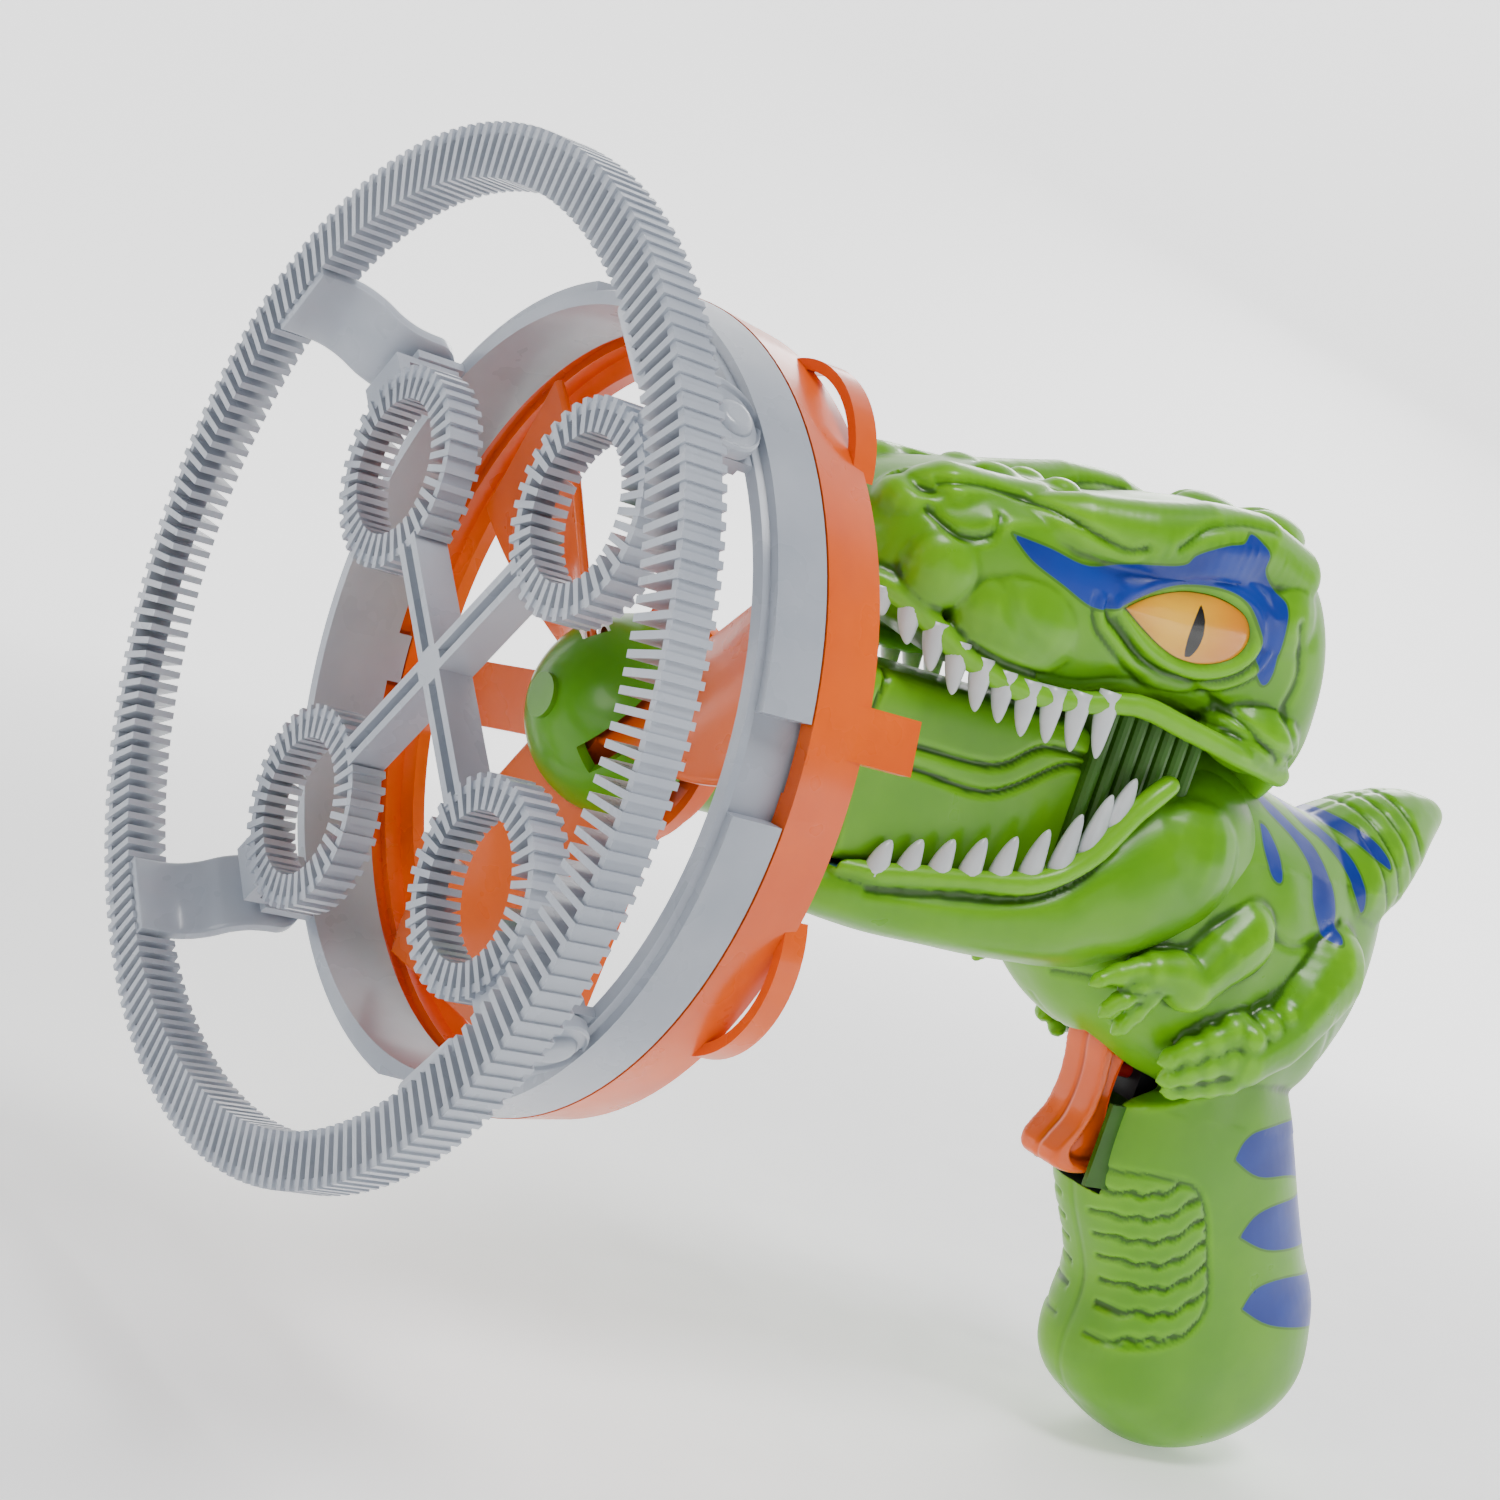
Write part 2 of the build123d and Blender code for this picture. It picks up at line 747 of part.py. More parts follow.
def barrel_halves():
    """Upper and lower mouldings of the pod, split along a channelled seam."""
    with BuildPart() as pod:
        add(barrel_outer())
        with BuildSketch(across(barrel_front_y + wall)):
            with Locations((0, (barrel_low_z + barrel_high_z) / 2)):
                RectangleRounded(
                    2 * (barrel_half_x - wall), barrel_high_z - barrel_low_z - 2 * wall, 3.2
                )
        extrude(amount=-(barrel_rear_y - barrel_front_y - 2 * wall), mode=Mode.SUBTRACT)
        with BuildSketch(across(hub_rear_y)):
            Circle(neck_inner_r)
        extrude(amount=-(barrel_front_y - hub_rear_y + 6), mode=Mode.SUBTRACT)
        for side in (-1, 1):
            add(
                block(
                    (side * barrel_half_x - 0.8, barrel_front_y - 1, barrel_seam_z - 1.3),
                    (side * barrel_half_x + 0.8, barrel_rear_y + 1, barrel_seam_z + 1.3),
                ),
                mode=Mode.SUBTRACT,
            )
        add(block((-5, barrel_rear_y - 4, -4), (5, barrel_rear_y + 1, 4)), mode=Mode.SUBTRACT)
    with BuildPart() as upper:
        add(pod.part)
        split(bisect_by=Plane.XY.offset(barrel_seam_z), keep=Keep.TOP)
    with BuildPart() as lower:
        add(pod.part)
        split(bisect_by=Plane.XY.offset(barrel_seam_z), keep=Keep.BOTTOM)
    return upper.part, lower.part


def tooth_row(spots, gum_r, down):
    """One moulded strip of conical teeth; spots are (x, y, z, tooth height)."""
    with BuildPart() as row:
        for k, (x, y, z, tall) in enumerate(spots):
            with Locations((x, y, z)):
                Cylinder(gum_r, 2 * gum_r)
            with Locations((x, y, z - tall / 2 if down else z + tall / 2)):
                if down:
                    Cone(0.4, 1.55, tall)
                else:
                    Cone(1.55, 0.4, tall)
            if k:
                a = Vector(*spots[k - 1][:3])
                b = Vector(x, y, z)
                with BuildSketch(Plane(origin=a, x_dir=(0, 0, 1), z_dir=b - a)):
                    Rectangle(1.6 * gum_r, 1.4 * gum_r)
                extrude(amount=(b - a).length)
    return row.part


upper_teeth_spots = (
    (14.0, 45.5, 30.2, 5.0),
    (16.3, 50.5, 28.6, 6.0),
    (17.8, 56.0, 27.4, 7.0),
    (18.9, 61.5, 26.4, 7.5),
    (19.6, 67.0, 25.2, 8.0),
    (20.2, 73.0, 24.2, 7.5),
    (20.8, 79.0, 23.8, 8.0),
    (21.2, 85.0, 24.0, 7.5),
    (21.5, 91.0, 24.6, 8.5),
    (21.6, 97.5, 25.8, 9.0),
)
lower_teeth_spots = (
    (17.0, 58.8, -12.4, 5.5),
    (17.5, 64.6, -11.4, 6.0),
    (18.2, 70.6, -10.2, 6.5),
    (18.9, 76.6, -9.2, 7.0),
    (19.5, 82.6, -8.4, 7.5),
    (20.0, 88.6, -7.2, 8.0),
    (20.4, 94.2, -4.8, 8.5),
    (20.6, 99.0, -0.8, 8.5),
    (20.6, 103.0, 4.8, 7.5),
)


def mirrored(spots):
    """The same spots on the right side."""
    return tuple((-x, y, z, tall) for x, y, z, tall in spots)


def eye_solid(side):
    """Almond eyeball seated in the head's side."""
    with BuildPart() as ball:
        Sphere(7.0)
        scale(by=(0.75, 1.95, 1.0))
    return Location((side * 23.6, 104.5, 42.0)) * ball.part


def side_reach(solid, y, z):
    """Half width of a solid at one spot."""
    probe = solid & tube_x(y, z, 0.5, -60, 60)
    return probe.bounding_box().max.X


# ---------------------------------------------------------------- inside the grip
def cell_spot(k):
    """Distance across the grip of one cell's axis."""
    return cell_middle + cell_pitch * (k - (cell_count - 1) / 2)


def battery_cell(k):
    """One AA cell with its raised terminal, alternately turned over."""
    up = k % 2 == 0
    with BuildPart() as cell:
        with BuildSketch(grip_plane(cell_top)):
            with Locations((0, cell_spot(k))):
                Circle(cell_r)
        extrude(amount=-cell_length)
        with BuildSketch(grip_plane(cell_top if up else cell_top + cell_length)):
            with Locations((0, cell_spot(k))):
                Circle(2.7)
        extrude(amount=terminal_tall if up else -terminal_tall)
    return cell.part


def tray_box(s_low, s_high, t_low, t_high, x_low, x_high):
    """Box in the grip's own frame: s down the grip, t to the rear, x to the side."""
    return grip_box(s_low, s_high, t_low, t_high, x_low, x_high)


def battery_tray():
    """Floor, two end walls and two cradle ribs that hold the cells."""
    floor_x = cell_r + 0.2
    tray = tray_box(4.2, 58.6, -28.0, 10.0, floor_x, floor_x + 1.5)
    tray += tray_box(4.2, 5.4, -28.0, 10.0, -8.0, floor_x + 1.5)
    tray += tray_box(57.4, 58.6, -28.0, 10.0, -8.0, floor_x + 1.5)
    for k in range(cell_count - 1):
        middle = (cell_spot(k) + cell_spot(k + 1)) / 2
        tray += tray_box(12.0, 50.0, middle - 0.6, middle + 0.6, 4.6, floor_x + 0.2)
    return tray


def coil_of(origin, heading, pitch, height, radius, wire):
    """Round-wire helix standing on a point."""
    with BuildPart() as spring:
        with BuildLine():
            coil = Helix(pitch=pitch, height=height, radius=radius, center=origin, direction=heading)
        with BuildSketch(Plane(origin=coil @ 0, z_dir=coil % 0)):
            Circle(wire)
        sweep(path=coil)
    return spring.part


def contact_springs():
    """Three small coils that press on the flat ends of the cells."""
    back = Vector(0, cos(radians(grip_rake)), sin(radians(grip_rake)))
    down = Vector(0, sin(radians(grip_rake)), -cos(radians(grip_rake)))
    coils = Part()
    for k in range(cell_count):
        at_top = k % 2 == 1
        start = Vector(*grip_top) + down * (5.75 if at_top else 57.05) + back * cell_spot(k)
        coils += coil_of(start, down if at_top else down * -1, 0.8, 0.9, 2.8, 0.28)
    return coils


def contact_plates():
    """Three thin plates that meet the raised terminals."""
    plates = Part()
    for k in range(cell_count):
        at_top = k % 2 == 0
        low = 5.4 if at_top else 57.0
        plates += tray_box(low, low + 0.4, cell_spot(k) - 5.0, cell_spot(k) + 5.0, -6.0, 6.0)
    return plates


# ---------------------------------------------------------------- trigger and switch
trigger_outline = (
    (134.2, -31.0),
    (134.0, -37.0),
    (135.5, -45.0),
    (134.5, -52.0),
    (131.5, -57.5),
    (132.5, -60.5),
    (139.0, -61.5),
    (144.5, -59.5),
    (143.5, -54.0),
    (142.0, -48.0),
    (142.0, -36.5),
    (143.4, -33.5),
    (151.0, -33.5),
    (151.0, tail_top_z),
    (139.0, tail_top_z),
)


def trigger_lever():
    """Finger lever with a boss round the pin and a short tail that lifts the spring."""
    with BuildPart() as lever:
        with BuildSketch(Plane.YZ):
            with BuildLine():
                Polyline(*trigger_outline, close=True)
            make_face()
            with Locations((pivot_y, pivot_z)):
                Circle(5.0)
        extrude(amount=trigger_half_x, both=True)
        rims = lever.edges().group_by(Axis.X)
        low_edges = [e for e in rims[0] + rims[-1] if e.center().Z < -38]
        fillet(low_edges, 1.6)
        with BuildSketch(Plane.YZ):
            with Locations((pivot_y, pivot_z)):
                Circle(pivot_r + 0.04)
        extrude(amount=20, both=True, mode=Mode.SUBTRACT)
    return lever.part


def trigger_coil():
    """Compression spring between the lever's tail and the shelf above it."""
    low = tail_top_z + spring_wire_r
    high = shelf_z - spring_wire_r
    return coil_of(Vector(0, spring_y, low), Vector(0, 0, 1), (high - low) / 5, high - low, 2.3, spring_wire_r)


def switch_case():
    """Box of the push switch with a blind bore for its plunger and two terminals."""
    case = block((-4, 147, -46), (4, 157, -36)) - tube_y(0, -41, plunger_r + 0.08, 146, 152.6)
    case += block((-3.0, 157, -38.5), (-2.2, 160, -37.0))
    case += block((2.2, 157, -38.5), (3.0, 160, -37.0))
    return case


def wire_run(points, bend):
    """Insulated wire swept along straight runs joined by arcs."""
    with BuildPart() as wire:
        with BuildLine():
            route = FilletPolyline(*points, radius=bend)
        with BuildSketch(Plane(origin=route @ 0, z_dir=route % 0)):
            Circle(wire_r)
        sweep(path=route)
    return wire.part


# ================================================================ the pieces
save(wand_collar(), "wand_collar")
save(
    ribbed_ring(
        ring_outer_r,
        ring_inner_r,
        ring_ribs,
        hoop_outer_r,
        hoop_inner_r,
        ring_front_y,
        ring_width,
        ring_front_y + hoop_inset,
        hoop_width,
    ),
    "wand_ring",
)
for number, angle in enumerate(arm_angles, start=1):
    save(wand_arm(angle), f"wand_arm_{number}")
save(arm_rivets(), "arm_rivets")
save(wand_cross(), "wand_cross")

save(fan_shroud(), "fan_shroud")
save(fan_impeller(), "fan_impeller")
save(fan_spinner(), "fan_spinner")

motor_can, motor_end_cap, motor_bush, motor_shaft, motor_armature, motor_magnets = motor_pieces()
save(motor_can, "motor_can")
save(motor_end_cap, "motor_end_cap")
save(motor_bush, "motor_bush")
save(motor_shaft, "motor_shaft")
save(motor_armature, "motor_armature")
save(motor_magnets, "motor_magnets")
save(motor_screws(), "motor_screws")

barrel_upper, barrel_lower = barrel_halves()
save(barrel_upper, "barrel_upper")
save(barrel_lower, "barrel_lower")

# body, head and jaw as full hollow forms
torso = rounded_loft(torso_sections)
grip = grip_loft(grip_sections)
trunk = torso + grip + tail_solid() + limb_solids()
cavity = rounded_loft(torso_sections, wall) + grip_loft(grip_sections, wall)
head_form = rounded_loft(head_sections, corner=0.28) - trunk
head_cavity = rounded_loft(head_sections, wall, corner=0.24)
jaw_form = rounded_loft(jaw_sections, corner=0.3) - trunk - barrel_outer(0.3) - head_form
jaw_cavity = rounded_loft(jaw_sections, wall, corner=0.26)

# bosses and screws that join the two halves
bosses = Part()
screw_holes = Part()
screws = Part()
for y, z in case_screw_spots:
    reach = side_reach(trunk, y, z)
    head_seat = -reach + 3.0
    bosses += tube_x(y, z, boss_r, -reach - 2, reach + 2)
    screw_holes += tube_x(y, z, screw_shank_r, -reach - 2, 10.0)
    screw_holes += tube_x(y, z, screw_head_r + 0.3, -reach - 5, head_seat)
    screws += tube_x(y, z, screw_shank_r, head_seat, 9.8)
    screws += tube_x(y, z, screw_head_r, head_seat - 1.7, head_seat)
bosses = bosses & trunk

trigger_slot = block((-slot_half_x, 127.0, -64.0), (slot_half_x, 154.5, -27.0))
wire_hole = block((-6, 104, -7), (6, 110, 5))
pin_bores = tube_x(pivot_y, pivot_z, pivot_r, -12, 12)
pin_lugs = tube_x(pivot_y, pivot_z, 4.0, slot_half_x, 12) + tube_x(pivot_y, pivot_z, 4.0, -12, -slot_half_x)
pin_lugs += block((slot_half_x, pivot_y - 3, pivot_z - 12), (9.5, pivot_y + 3, pivot_z))
pin_lugs += block((-9.5, pivot_y - 3, pivot_z - 12), (-slot_half_x, pivot_y + 3, pivot_z))
pin_lugs = (pin_lugs & trunk) - pin_bores

door_zone = grip_box(9.0, 54.0, -27.0, 9.5, -40.0, -12.4) + grip_box(53.0, 64.0, -12.0, -4.0, -40.0, -12.4)
door_gap_zone = grip_box(8.7, 54.3, -27.3, 9.8, -40.0, -12.0) + grip_box(53.0, 64.3, -12.3, -3.7, -40.0, -12.0)
door_screw_y = grip_top[1] + 61.4 * sin(radians(grip_rake)) - 8.0 * cos(radians(grip_rake))
door_screw_z = grip_top[2] - 61.4 * cos(radians(grip_rake)) - 8.0 * sin(radians(grip_rake))
door_post = tube_x(door_screw_y, door_screw_z, 2.4, -11.7, -4.5)
door_post += grip_box(61.4, 69.0, -9.2, -6.8, -11.2, -5.1) & grip_loft(grip_sections, 0.7)
door_post = door_post - tube_x(door_screw_y, door_screw_z, 1.22, -20, 0)
door_screw = tube_x(door_screw_y, door_screw_z, 1.2, -14.2, -5.5)
door_screw += tube_x(door_screw_y, door_screw_z, 2.4, -15.3, -14.2)
door_holes = tube_x(door_screw_y, door_screw_z, 1.3, -20, 0) + tube_x(door_screw_y, door_screw_z, 2.7, -20, -14.2)

within_torso = rounded_loft(torso_sections, 1.0)
within_grip = grip_loft(grip_sections, 1.0)
spring_shelf = block((-30, 144.5, shelf_z), (30, 151.5, shelf_z + 1.6)) & within_torso
switch_ribs = block((4.0, 149.6, -45.0), (30, 153.8, -43.4)) & within_grip
switch_ribs += block((-30, 149.6, -45.0), (-4.0, 153.8, -43.4)) & within_grip
cell_room = Part()
for k in range(cell_count):
    with BuildPart() as room:
        with BuildSketch(grip_plane(5.5)):
            with Locations((0, cell_spot(k))):
                Circle(cell_r + 0.2)
        extrude(amount=-51.8)
    cell_room += room.part
body_shell = (trunk - cavity - trigger_slot) + (bosses - trigger_slot) + pin_lugs
body_shell = body_shell + spring_shelf + switch_ribs
body_shell = body_shell - wire_hole - cell_room
grip_wall = grip - grip_loft(grip_sections, wall)
door_wall = (grip_wall & door_zone) - door_holes
left_half = half_of(body_shell, 1)
right_half = mirror(left_half, about=Plane.YZ)
save(left_half - screw_holes, "body_left")
save(right_half - screw_holes - door_gap_zone + door_post, "body_right")
save(screws, "case_screws")
save(door_wall, "battery_door")
save(door_screw, "battery_door_screw")

cap_zone = block((-9, 72, 50), (9, 130, 80))
upper_teeth = {1: tooth_row(upper_teeth_spots, 1.7, True), -1: tooth_row(mirrored(upper_teeth_spots), 1.7, True)}
lower_teeth = {1: tooth_row(lower_teeth_spots, 1.6, False), -1: tooth_row(mirrored(lower_teeth_spots), 1.6, False)}
eyes = {1: eye_solid(1), -1: eye_solid(-1)}
head_shell = head_form - head_cavity
skull_cap = head_shell & cap_zone
head_shell = head_shell - cap_zone
jaw_shell = jaw_form - jaw_cavity
for side, word in ((1, "left"), (-1, "right")):
    half_head = half_of(head_shell, side) - eyes[side] - upper_teeth[side]
    half_jaw = half_of(jaw_shell, side) - lower_teeth[side]
    save(half_head, f"head_{word}")
    save(half_jaw, f"jaw_{word}")
    save(eyes[side], f"eye_{word}")
    save(upper_teeth[side], f"upper_teeth_{word}")
    save(lower_teeth[side], f"lower_teeth_{word}")
save(skull_cap, "skull_cap")

# cells, contacts and tray in the grip
save(battery_tray() & grip_loft(grip_sections, wall + 0.1), "battery_tray")
for k in range(cell_count):
    save(battery_cell(k), f"battery_{k + 1}")
save(contact_springs(), "contact_springs")
save(contact_plates(), "contact_plates")

# trigger, its pin and spring, and the switch behind it
save(trigger_lever(), "trigger")
save(tube_x(pivot_y, pivot_z, pivot_r, -11.6, 11.6), "trigger_pin")
save(trigger_coil(), "trigger_spring")
save(switch_case(), "switch_body")
save(tube_y(0, -41, plunger_r, 142.3, 149.0), "switch_button")

# wires: motor to switch, motor to cells
wire_red = wire_run(((3.0, 45.5, 4.0), (3.0, 56.0, 4.0), (3.0, 76.0, 1.0), (3.0, 156.0, 1.0), (3.0, 156.0, -36.0)), 6.0)
wire_black = wire_run(((-3.0, 45.5, -4.0), (-3.0, 56.0, -4.0), (-3.0, 76.0, -1.0), (-3.0, 164.0, -1.0), (-3.0, 172.0, -46.0)), 6.0)
save(wire_red, "wire_red")
save(wire_black, "wire_black")
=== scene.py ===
"""Looks of the dinosaur bubble machine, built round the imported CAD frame."""
import math

import bmesh
import bpy
import numpy as np
from mathutils import Matrix, Vector
from mathutils.bvhtree import BVHTree


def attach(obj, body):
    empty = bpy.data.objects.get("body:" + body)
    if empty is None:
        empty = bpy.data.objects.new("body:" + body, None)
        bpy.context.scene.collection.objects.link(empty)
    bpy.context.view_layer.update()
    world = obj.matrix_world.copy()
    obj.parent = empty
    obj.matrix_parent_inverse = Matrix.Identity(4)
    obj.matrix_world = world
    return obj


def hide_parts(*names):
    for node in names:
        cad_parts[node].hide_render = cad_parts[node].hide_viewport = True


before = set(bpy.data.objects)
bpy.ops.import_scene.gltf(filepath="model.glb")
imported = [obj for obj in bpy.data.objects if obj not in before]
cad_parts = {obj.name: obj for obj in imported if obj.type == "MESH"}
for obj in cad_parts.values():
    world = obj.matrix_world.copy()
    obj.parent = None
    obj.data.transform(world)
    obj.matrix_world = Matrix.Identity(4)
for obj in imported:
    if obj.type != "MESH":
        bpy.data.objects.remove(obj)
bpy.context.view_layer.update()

MM = 0.001
SIDES = {1: "left", -1: "right"}


# ------------------------------------------------------------------ colour and materials
def linear(code):
    """Linear RGBA from a six-digit hex colour."""
    parts = [int(code[i : i + 2], 16) / 255 for i in (0, 2, 4)]
    parts = [c / 12.92 if c <= 0.04045 else ((c + 0.055) / 1.055) ** 2.4 for c in parts]
    return (*parts, 1.0)


class Shade:
    """Small builder round one Principled material."""

    def __init__(self, name):
        self.mat = bpy.data.materials.new(name)
        self.mat.use_nodes = True
        self.nodes = self.mat.node_tree.nodes
        self.links = self.mat.node_tree.links
        self.bsdf = self.nodes["Principled BSDF"]
        self.coords = self.nodes.new("ShaderNodeNewGeometry").outputs["Position"]

    def noise(self, scale, detail=3.0, roughness=0.55):
        n = self.nodes.new("ShaderNodeTexNoise")
        n.inputs["Scale"].default_value = scale
        n.inputs["Detail"].default_value = detail
        n.inputs["Roughness"].default_value = roughness
        self.links.new(self.coords, n.inputs["Vector"])
        return n.outputs["Fac"]

    def spread(self, value, low, high, out_low=0.0, out_high=1.0):
        m = self.nodes.new("ShaderNodeMapRange")
        m.interpolation_type = "SMOOTHSTEP"
        m.inputs["From Min"].default_value = low
        m.inputs["From Max"].default_value = high
        m.inputs["To Min"].default_value = out_low
        m.inputs["To Max"].default_value = out_high
        self.links.new(value, m.inputs["Value"])
        return m.outputs["Result"]

    def mixed(self, factor, a, b):
        m = self.nodes.new("ShaderNodeMix")
        m.data_type = "RGBA"
        for value, socket in ((a, m.inputs[6]), (b, m.inputs[7])):
            if isinstance(value, tuple):
                socket.default_value = value
            else:
                self.links.new(value, socket)
        self.links.new(factor, m.inputs[0])
        return m.outputs[2]

    def attribute(self, name):
        a = self.nodes.new("ShaderNodeAttribute")
        a.attribute_name = name
        return a.outputs["Fac"]

    def finish(self, colour, rough, grain, bump, coat=0.0, metal=0.0, fine=2600.0):
        self.links.new(colour, self.bsdf.inputs["Base Color"])
        self.links.new(self.spread(self.noise(90.0), 0.25, 0.75, rough - 0.06, rough + 0.08),
            self.bsdf.inputs["Roughness"])
        self.bsdf.inputs["Metallic"].default_value = metal
        self.bsdf.inputs["Specular IOR Level"].default_value = 0.36
        self.bsdf.inputs["Coat Weight"].default_value = coat
        self.bsdf.inputs["Coat Roughness"].default_value = 0.12
        first = self.nodes.new("ShaderNodeBump")
        first.inputs["Strength"].default_value = bump
        first.inputs["Distance"].default_value = 0.0002
        self.links.new(self.noise(grain), first.inputs["Height"])
        second = self.nodes.new("ShaderNodeBump")
        second.inputs["Strength"].default_value = bump * 0.6
        second.inputs["Distance"].default_value = 0.00005
        self.links.new(self.noise(fine, 2.0), second.inputs["Height"])
        self.links.new(first.outputs["Normal"], second.inputs["Normal"])
        self.links.new(second.outputs["Normal"], self.bsdf.inputs["Normal"])
        return self.mat


def moulded(name, light, dark, rough=0.34, grain=260.0, bump=0.12, coat=0.15, metal=0.0):
    """Moulded plastic or metal: cloudy tone, uneven gloss and a fine grain."""
    s = Shade(name)
    tone = s.spread(s.noise(38.0, 4.0), 0.3, 0.7)
    return s.finish(s.mixed(tone, linear(dark), linear(light)), rough, grain, bump, coat, metal)


def dino_skin(name):
    """Green moulding with painted shade in creases and a painted highlight on crowns, with blue painted
    marks and thin pale rims.
    """
    s = Shade(name)
    tone = s.spread(s.noise(30.0, 4.0), 0.3, 0.7)
    colour = s.mixed(tone, linear("549400"), linear("66a604"))
    # painted highlight: paler green on raised crowns
    colour = s.mixed(s.spread(s.attribute("crown"), 0.1, 0.9, 0.0, 0.45), colour, linear("84cc1c"))
    # painted shade: dark green in creases and hollows
    colour = s.mixed(s.spread(s.attribute("recess"), 0.05, 0.9, 0.0, 0.9), colour, linear("234a02"))
    colour = s.mixed(s.spread(s.attribute("paint"), 0.62, 0.38, 0.0, 0.75), colour, linear("3c6c12"))
    blue_tone = s.mixed(s.spread(s.noise(55.0), 0.3, 0.7), linear("0c2a84"), linear("163a9c"))
    colour = s.mixed(s.spread(s.attribute("paint"), 0.12, -0.12), colour, blue_tone)
    return s.finish(colour, 0.33, 240.0, 0.10, 0.08)


def orange_skin(name):
    """Orange moulding with painted shade in creases."""
    s = Shade(name)
    colour = s.mixed(s.spread(s.noise(38.0, 4.0), 0.3, 0.7), linear("e05400"), linear("f06200"))
    # painted shade: dark orange in creases and hollows
    colour = s.mixed(s.spread(s.attribute("recess"), 0.1, 0.9, 0.0, 0.8), colour, linear("9a3000"))
    return s.finish(colour, 0.3, 240.0, 0.07, 0.3)


MATS = {
    "white": moulded("white_plastic", "b4bac4", "a3aab6", 0.30, 240.0, 0.08, 0.25),
    "orange": moulded("orange_plastic", "f06200", "e05400", 0.30, 240.0, 0.07, 0.3),
    "green": moulded("green_plastic", "5aa000", "4a8e00", 0.33, 240.0, 0.08, 0.2),
    # darker green for the inside of the mouth and the trigger well: painted shade
    "painted_shade_green": moulded("shadow_green_plastic", "3a6c14", "2d580d", 0.45, 240.0, 0.12, 0.05),
    "tooth": moulded("tooth_plastic", "d4d8da", "b9bfc3", 0.30, 420.0, 0.10, 0.3),
    "steel": moulded("steel", "b9bcc2", "9a9da3", 0.28, 900.0, 0.10, 0.0, 1.0),
    "brass": moulded("brass", "c79a4a", "a97f36", 0.34, 900.0, 0.10, 0.0, 1.0),
    "copper": moulded("copper_winding", "b0622e", "8a4620", 0.38, 1800.0, 0.25, 0.0, 1.0),
    "black": moulded("black_plastic", "1b1c1f", "101113", 0.42, 420.0, 0.12, 0.05),
    "ferrite": moulded("ferrite", "2c2c30", "1d1d20", 0.6, 900.0, 0.25, 0.0),
    "cell": moulded("cell_sleeve", "2a3b55", "1c2a40", 0.28, 420.0, 0.06, 0.4),
    "red": moulded("red_insulation", "b01812", "8c100c", 0.45, 900.0, 0.08, 0.05),
    "skin": dino_skin("dinosaur_skin"),
    "orange_deep": orange_skin("orange_lever_plastic"),
}
NODE_LOOKS = {
    "white": ["wand_collar", "wand_ring", "arm_rivets", "wand_cross"],
    "orange": ["fan_shroud", "fan_impeller"],
    "green": ["fan_spinner"],
    "steel": [
        "motor_shaft", "motor_can", "trigger_pin", "trigger_spring", "motor_screws", "case_screws",
        "battery_door_screw", "contact_springs", "contact_plates",
    ],
    "copper": ["motor_armature"],
    "ferrite": ["motor_magnets"],
    "brass": ["motor_bush"],
    "black": ["motor_end_cap", "switch_body", "battery_tray", "wire_black"],
    "red": ["switch_button", "wire_red"],
    "cell": ["battery_1", "battery_2", "battery_3"],
}
for look, names in NODE_LOOKS.items():
    for name in names:
        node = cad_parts[name]
        node.data.materials.clear()
        node.data.materials.append(MATS[look])


# ------------------------------------------------------------------ shapes, in millimetres
def eased(rows, count):
    """Rows of numbers resampled on a smooth curve through them."""
    rows = np.array(rows, float)
    last = len(rows) - 1
    at = np.linspace(0, last, count)
    i = np.clip(at.astype(int), 0, last - 1)
    f = (at - i)[:, None]
    before, a, b, after = (rows[np.clip(i + d, 0, last)] for d in (-1, 0, 1, 2))
    return (
        (2 * f**3 - 3 * f**2 + 1) * a
        + (f**3 - 2 * f**2 + f) * 0.5 * (b - before)
        + (3 * f**2 - 2 * f**3) * b
        + (f**3 - f**2) * 0.5 * (after - a)
    )


def tube_of(rings):
    """Closed skin through rings of points: (vertices, faces)."""
    rings = np.asarray(rings, float)
    count, sides = rings.shape[:2]
    verts = np.vstack([rings.reshape(-1, 3), rings[0].mean(0)[None], rings[-1].mean(0)[None]])
    faces = []
    for k in range(count - 1):
        for j in range(sides):
            n = (j + 1) % sides
            faces.append((k * sides + j, k * sides + n, (k + 1) * sides + n, (k + 1) * sides + j))
    first, end = count * sides, count * sides + 1
    for j in range(sides):
        n = (j + 1) % sides
        faces.append((first, n, j))
        faces.append((end, (count - 1) * sides + j, (count - 1) * sides + n))
    return verts, faces


def lofted(sections, count=70, sides=64, inset=0.0):
    """Skin along Y through (y, low z, high z, half width, squareness)."""
    angles = np.linspace(0, 2 * math.pi, sides, endpoint=False)
    rings = []
    for y, low, high, half, square in eased(sections, count):
        c, s = np.cos(angles), np.sin(angles)
        x = (half - inset) * np.sign(c) * np.abs(c) ** (2 / square)
        z = (low + high) / 2 + ((high - low) / 2 - inset) * np.sign(s) * np.abs(s) ** (2 / square)
        rings.append(np.stack([x, np.full(sides, y), z], 1))
    return tube_of(rings)


RAKE = math.radians(30)
GRIP_TOP = np.array([0.0, 172.0, -45.0])
GRIP_DOWN = np.array([0.0, math.sin(RAKE), -math.cos(RAKE)])
GRIP_BACK = np.array([0.0, math.cos(RAKE), math.sin(RAKE)])


def grip_point(x, s, t):
    """Point at s down the grip, t to its rear."""
    return np.array([x, 0, 0]) + GRIP_TOP + GRIP_DOWN * s + GRIP_BACK * t


